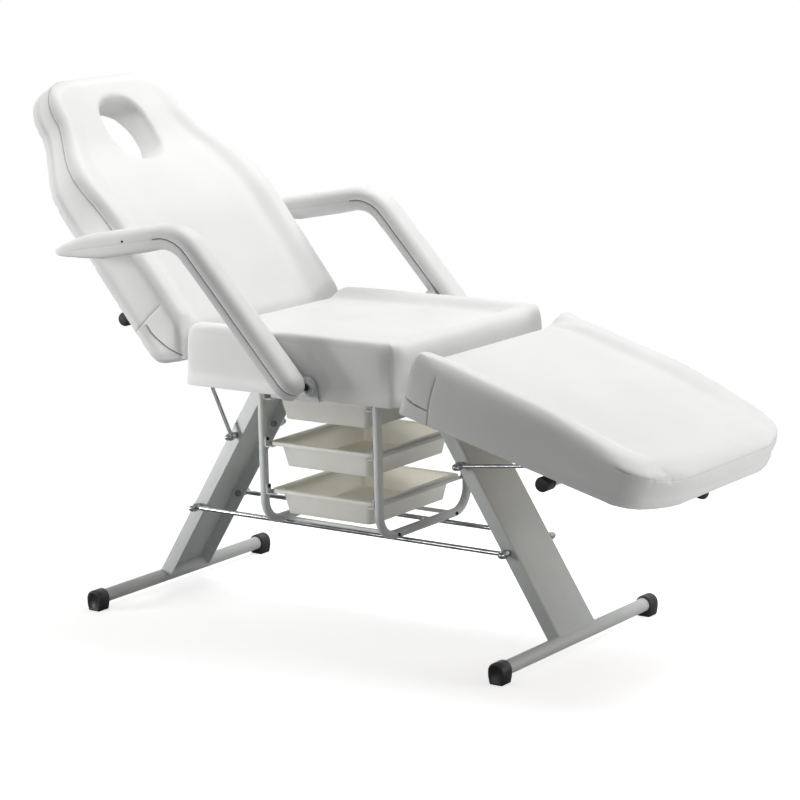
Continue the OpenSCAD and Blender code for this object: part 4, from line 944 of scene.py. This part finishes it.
# A rubber foot: its section across the bed as (x, height, corner radius), its length, where its
# inner end is, and the steps of its inner and outer end as (scale, mm outward)
FOOT_SECTION = ((-19, 45, 18.5), (-18.5, 16, 4), (-15, 0, 2.5), (15, 0, 2.5), (18.5, 16, 4),
                (19, 45, 18.5))
FOOT_LENGTH, FOOT_Y = 28.4, 269
FOOT_ENDS = ((-1, ((0.96, 1.0),)),
             (1, ((0.985, 1.1), (0.965, 0.9), (0.94, 0.6), (0.82, 0), (0.95, -1.6))))


def make_feet():
    """Rubber caps with flat soles on the ends of the floor tubes."""
    bm = bmesh.new()
    rounded_face(bm, [((x, 0, z), radius) for x, z, radius in FOOT_SECTION], 6)
    pull_out(bm, (0, FOOT_LENGTH, 0))
    bmesh.ops.translate(bm, vec=(0, 1, 0), verts=bm.verts[:])
    bmesh.ops.recalc_face_normals(bm, faces=bm.faces[:])
    for side, steps in FOOT_ENDS:
        end = max((f for f in bm.faces if f.normal.y * side > 0.99), key=lambda f: f.calc_area())
        for share, step in steps:
            made = bmesh.ops.extrude_face_region(bm, geom=[end])["geom"]
            bmesh.ops.delete(bm, geom=[end], context="FACES_ONLY")
            end = next(f for f in made if isinstance(f, bmesh.types.BMFace))
            middle = end.calc_center_median()
            move = (Matrix.Translation(middle + Vector((0, side * step, 0)))
                    @ Matrix.Diagonal((share, 1, share, 1)) @ Matrix.Translation(-middle))
            bmesh.ops.transform(bm, matrix=move, verts=end.verts[:])
    piece = piece_from(at_corners(bm, TUBE_X, FOOT_Y), "rubber_feet")
    finish_piece(piece, "floor_feet")


def turned_piece(name, node, parts, steps=32):
    """A piece of lathed shapes; each part is (profile, centre, axis)."""
    bm = bmesh.new()
    for profile, centre, axis in parts:
        lathe(bm, profile, centre, axis, steps)
    piece = piece_from(bm, name)
    ease_edges(piece, 0.4, 1, 60)
    finish_piece(piece, node)


# Lathed shapes as (radius, height) in mm
NUT_DOME = [(0, 14.4)] + [(7 * math.cos(t), 7 + 7.4 * math.sin(t))
                          for t in np.linspace(math.pi / 2 - 0.2, 0, 8)] + [(6, 7), (0, 7)]
NUT_WASHER = [(0, 0), (8.4, 0), (8.4, 1.4), (0, 1.4)]
GRIP = [(0, 0), (10.5, 0), (13.5, -1.2), (15, -4.5), (15, -24), (14, -26), (15, -28), (15, -33),
        (13.5, -34), (11.2, -34)]
BUFFER = [(0, -35), (5, -36), (9.5, -35.2), (12, -33), (14.5, -27), (14.5, -12), (13, -10.5),
          (13, -8), (0, -8)]
PAN_SCREW = [(0, 3.4), (1, 3.4), (1.1, 2.2), (1.6, 2.2), (1.8, 3.3), (3, 2.8), (3.9, 1.4),
             (4, 0), (0, 0)]
BUTTON_BOLT = [(0, 1.2), (2.6, 1.2), (2.8, 3.2), (4.5, 3.1), (6.6, 2.4), (7.8, 0.8), (7.8, 0),
               (5, 0), (5, -8.6), (0, -8.6)]
COVER_SCREW = [(0, 3.2), (2.2, 3), (3.6, 1.8), (3.8, 0.3), (3.8, 0), (0, 0)]
COVER_PLUG = [(0, 2.2), (1.6, 2), (2.6, 1), (2.8, -4), (0, -4)]
# Their places in mm: leg bolts as (x, z), grips and buffer from their board, and the rest as
# (x, y, z) with the runner screws' height taken from a tray's rim
LEG_BOLTS, NUT_Y = ((403.7, 200.2), (295.4, 370.7)), 90.2
NUT_RADIUS, NUT_HEIGHT, NUT_MIDDLE = 8.2, 6, 4.2
BACK_GRIPS, REST_GRIPS, GRIP_Y, BUFFER_AT = (118, 0, -24), (350, 0, -28), 275, (553, 0, 0)
RACK_SCREW, RUNNER_SCREW, ARM_BOLT = (158, 106, 215), (137, 160.6, 6), (73, 299.4, 551)
COVER_SCREWS_AT, COVER_PLUG_AT = (34, 66), 208  # mm from an arm's tip


def make_nuts():
    """Hexagon nuts with domed caps and washers, one at each end of the bolts."""
    bm = bmesh.new()
    for end, side, (x, z) in product(SIDES, SIDES, LEG_BOLTS):
        centre = spot(end * x, side * NUT_Y, z)
        axis = Vector((0, side, 0))
        lathe(bm, NUT_DOME, centre, axis, 24)
        lathe(bm, NUT_WASHER, centre, axis, 24)
        turn = Matrix.Translation(centre + axis * NUT_MIDDLE * MM) @ Matrix.Rotation(
            math.pi / 2, 4, "X")
        bmesh.ops.create_cone(bm, cap_ends=True, segments=6, radius1=NUT_RADIUS * MM,
                              radius2=NUT_RADIUS * MM, depth=NUT_HEIGHT * MM, matrix=turn)
    piece = piece_from(bm, "dome_cap_nuts")
    ease_edges(piece, 0.7, 2, 40)
    finish_piece(piece, "dome_nuts")


def make_grips():
    for node, middle in (("back_prop_grips", BACK_FRAME @ Vector(BACK_GRIPS)),
                         ("rest_prop_grips", REST_FRAME @ Vector(REST_GRIPS))):
        parts = [(GRIP, middle + Vector((0, side * GRIP_Y * MM, 0)), (0, side, 0))
                 for side in SIDES]
        turned_piece(node + "_moulded", node, parts)


def make_buffer():
    axis = REST_FRAME.to_3x3() @ Vector((0, 0, 1))
    centre = REST_FRAME @ Vector(BUFFER_AT)
    turned_piece("moulded_buffer", "rest_buffer", [(BUFFER, centre, axis)])


def make_rack_screws():
    parts = []
    for end, side in product(SIDES, SIDES):
        x, y, z = RACK_SCREW
        parts.append((PAN_SCREW, spot(end * x, side * y, z), (end, 0, 0)))
        x, y, z = RUNNER_SCREW
        parts += [(PAN_SCREW, spot(end * x, side * y, rim + z), (-end, 0, 0))
                  for rim in TRAY_RIMS.values()]
    turned_piece("rack_pan_screws", "rack_screws", parts, 16)


def make_arm_bolts():
    """Low button heads with a hexagon socket."""
    x, y, z = ARM_BOLT
    parts = [(BUTTON_BOLT, spot(x, side * y, z), (0, side, 0)) for side in SIDES]
    turned_piece("arm_button_bolts", "arm_bolts", parts, 24)


def make_arm_screws():
    """Small screws that hold each arm's cover under its tip, and a plug on its outer side."""
    for side, name in zip(SIDES, ("near_arm", "far_arm")):
        bm = bmesh.new()
        down = Vector((math.sin(ARM_RISE), 0, -math.cos(ARM_RISE)))
        for s in COVER_SCREWS_AT:
            x, z = arm_place(s, 0.6 - np.interp(s, UNDER_AT, UNDER_DEPTH))
            lathe(bm, COVER_SCREW, spot(x, side * (ARM_Y + 12), z), down, 16)
        x, z = arm_place(COVER_PLUG_AT, 4)
        lathe(bm, COVER_PLUG, spot(x, side * (ARM_Y + ARM_HALF - 1), z), (0, side, 0), 16)
        screws = piece_from(bm, name + "_cover_screws")
        screws.data.materials.append(SLOT_FINISH["black_steel"])
        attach(screws, name)


# Stage
def paper_floor(add, place):
    """White paper that fades into the background. The camera sees it white, and the bed is lit
    by it as by a grey floor."""
    reach = add("VectorMath", {0: place}, operation="LENGTH")
    fade = add("MapRange", {"Value": reach, "From Min": 1.1, "From Max": 2.1},
               interpolation_type="SMOOTHSTEP")
    seen = add("LightPath").outputs["Is Camera Ray"]
    tone = add("Mix", {"Factor": seen, "A": linear("D4D4D4"), "B": linear("F8F8F8")},
               data_type="RGBA")
    paper = add("BsdfDiffuse", {"Color": tone})
    lift = add("Math", {0: seen, 1: 0.67}, operation="MULTIPLY")
    haze = add("Emission", {"Color": (1, 1, 1, 1), "Strength": lift})
    lit = add("AddShader", {0: paper, 1: haze})
    glow = add("Emission", {"Color": (1, 1, 1, 1), "Strength": 1.0})
    share = add("Math", {0: fade, 1: seen}, operation="MULTIPLY")
    return add("MixShader", {"Fac": share, 1: lit, 2: glow})


def make_floor():
    bm = bmesh.new()
    bmesh.ops.create_grid(bm, x_segments=1, y_segments=1, size=30)
    floor = piece_from(bm, "floor")
    floor.data.materials.append(new_material("white_paper_floor", paper_floor))


def area_light(name, place, aim, width, height, power, spread=180):
    data = bpy.data.lights.new(name, "AREA")
    data.spread = math.radians(spread)
    data.shape = "RECTANGLE"
    data.size, data.size_y = width, height
    data.energy = power
    lamp = placed(name, data)
    place, aim = Vector(place), Vector(aim)
    lamp.matrix_world = Matrix.Translation(place) @ (place - aim).to_track_quat(
        "Z", "Y").to_matrix().to_4x4()
    return lamp


def make_lights():
    area_light("overhead_softbox", (0.2, 1.0, 3.2), (0.05, 0, 0.5), 3.2, 2.3, 79)
    upper = area_light("upper_left_softbox", (-2.0, -1.5, 1.0), (-0.6, -0.3, 0.92), 0.6, 0.6,
                       2.3, 50)
    upper.visible_glossy = False
    area_light("left_softbox", (-1.9, -1.6, 0.5), (-0.38, 0, 0.24), 0.6, 0.5, 0.9, 30)
    area_light("right_softbox", (1.9, 0.3, 0.45), (0.8, 0, 0.5), 0.9, 0.7, 6.3)
    area_light("low_gridded_fill", (-0.85, -1.7, 0.52), (0.03, 0, 0.33), 0.4, 0.3, 0.12, 22)


def make_world():
    """A white background, seen in chrome and through trays too, that lights the bed a little."""
    world = bpy.data.worlds.new("white_studio")
    bpy.context.scene.world = world
    world.use_nodes = True
    world.node_tree.nodes.clear()
    add = partial(add_node, world.node_tree)
    rays = add("LightPath").outputs
    seen = add("Math", {0: rays["Is Camera Ray"], 1: rays["Is Transmission Ray"]},
               operation="MAXIMUM")
    glossy = add("Math", {0: seen, 1: rays["Is Glossy Ray"]}, operation="MAXIMUM")
    strength = add("MapRange", {"Value": glossy, "To Min": 0.16, "To Max": 1.0})
    ground = add("Background", {"Color": (1, 1, 1, 1), "Strength": strength})
    add("OutputWorld", {"Surface": ground})


# The bed
set_camera()
for node_name in NODES:
    dress_node(node_name)
make_seat()
make_back()
make_rest()
make_arms()
for tray_name, tray_rim in TRAY_RIMS.items():
    make_tray(tray_name, tray_rim)
for node_name in SHEET_PARTS:
    softened(node_name)
make_leg("head_leg", -1)
make_leg("foot_leg", 1)
make_feet()
make_nuts()
make_grips()
make_buffer()
make_rack_screws()
make_arm_bolts()
make_arm_screws()
make_floor()
make_lights()
make_world()

bpy.context.scene.view_settings.view_transform = "Standard"
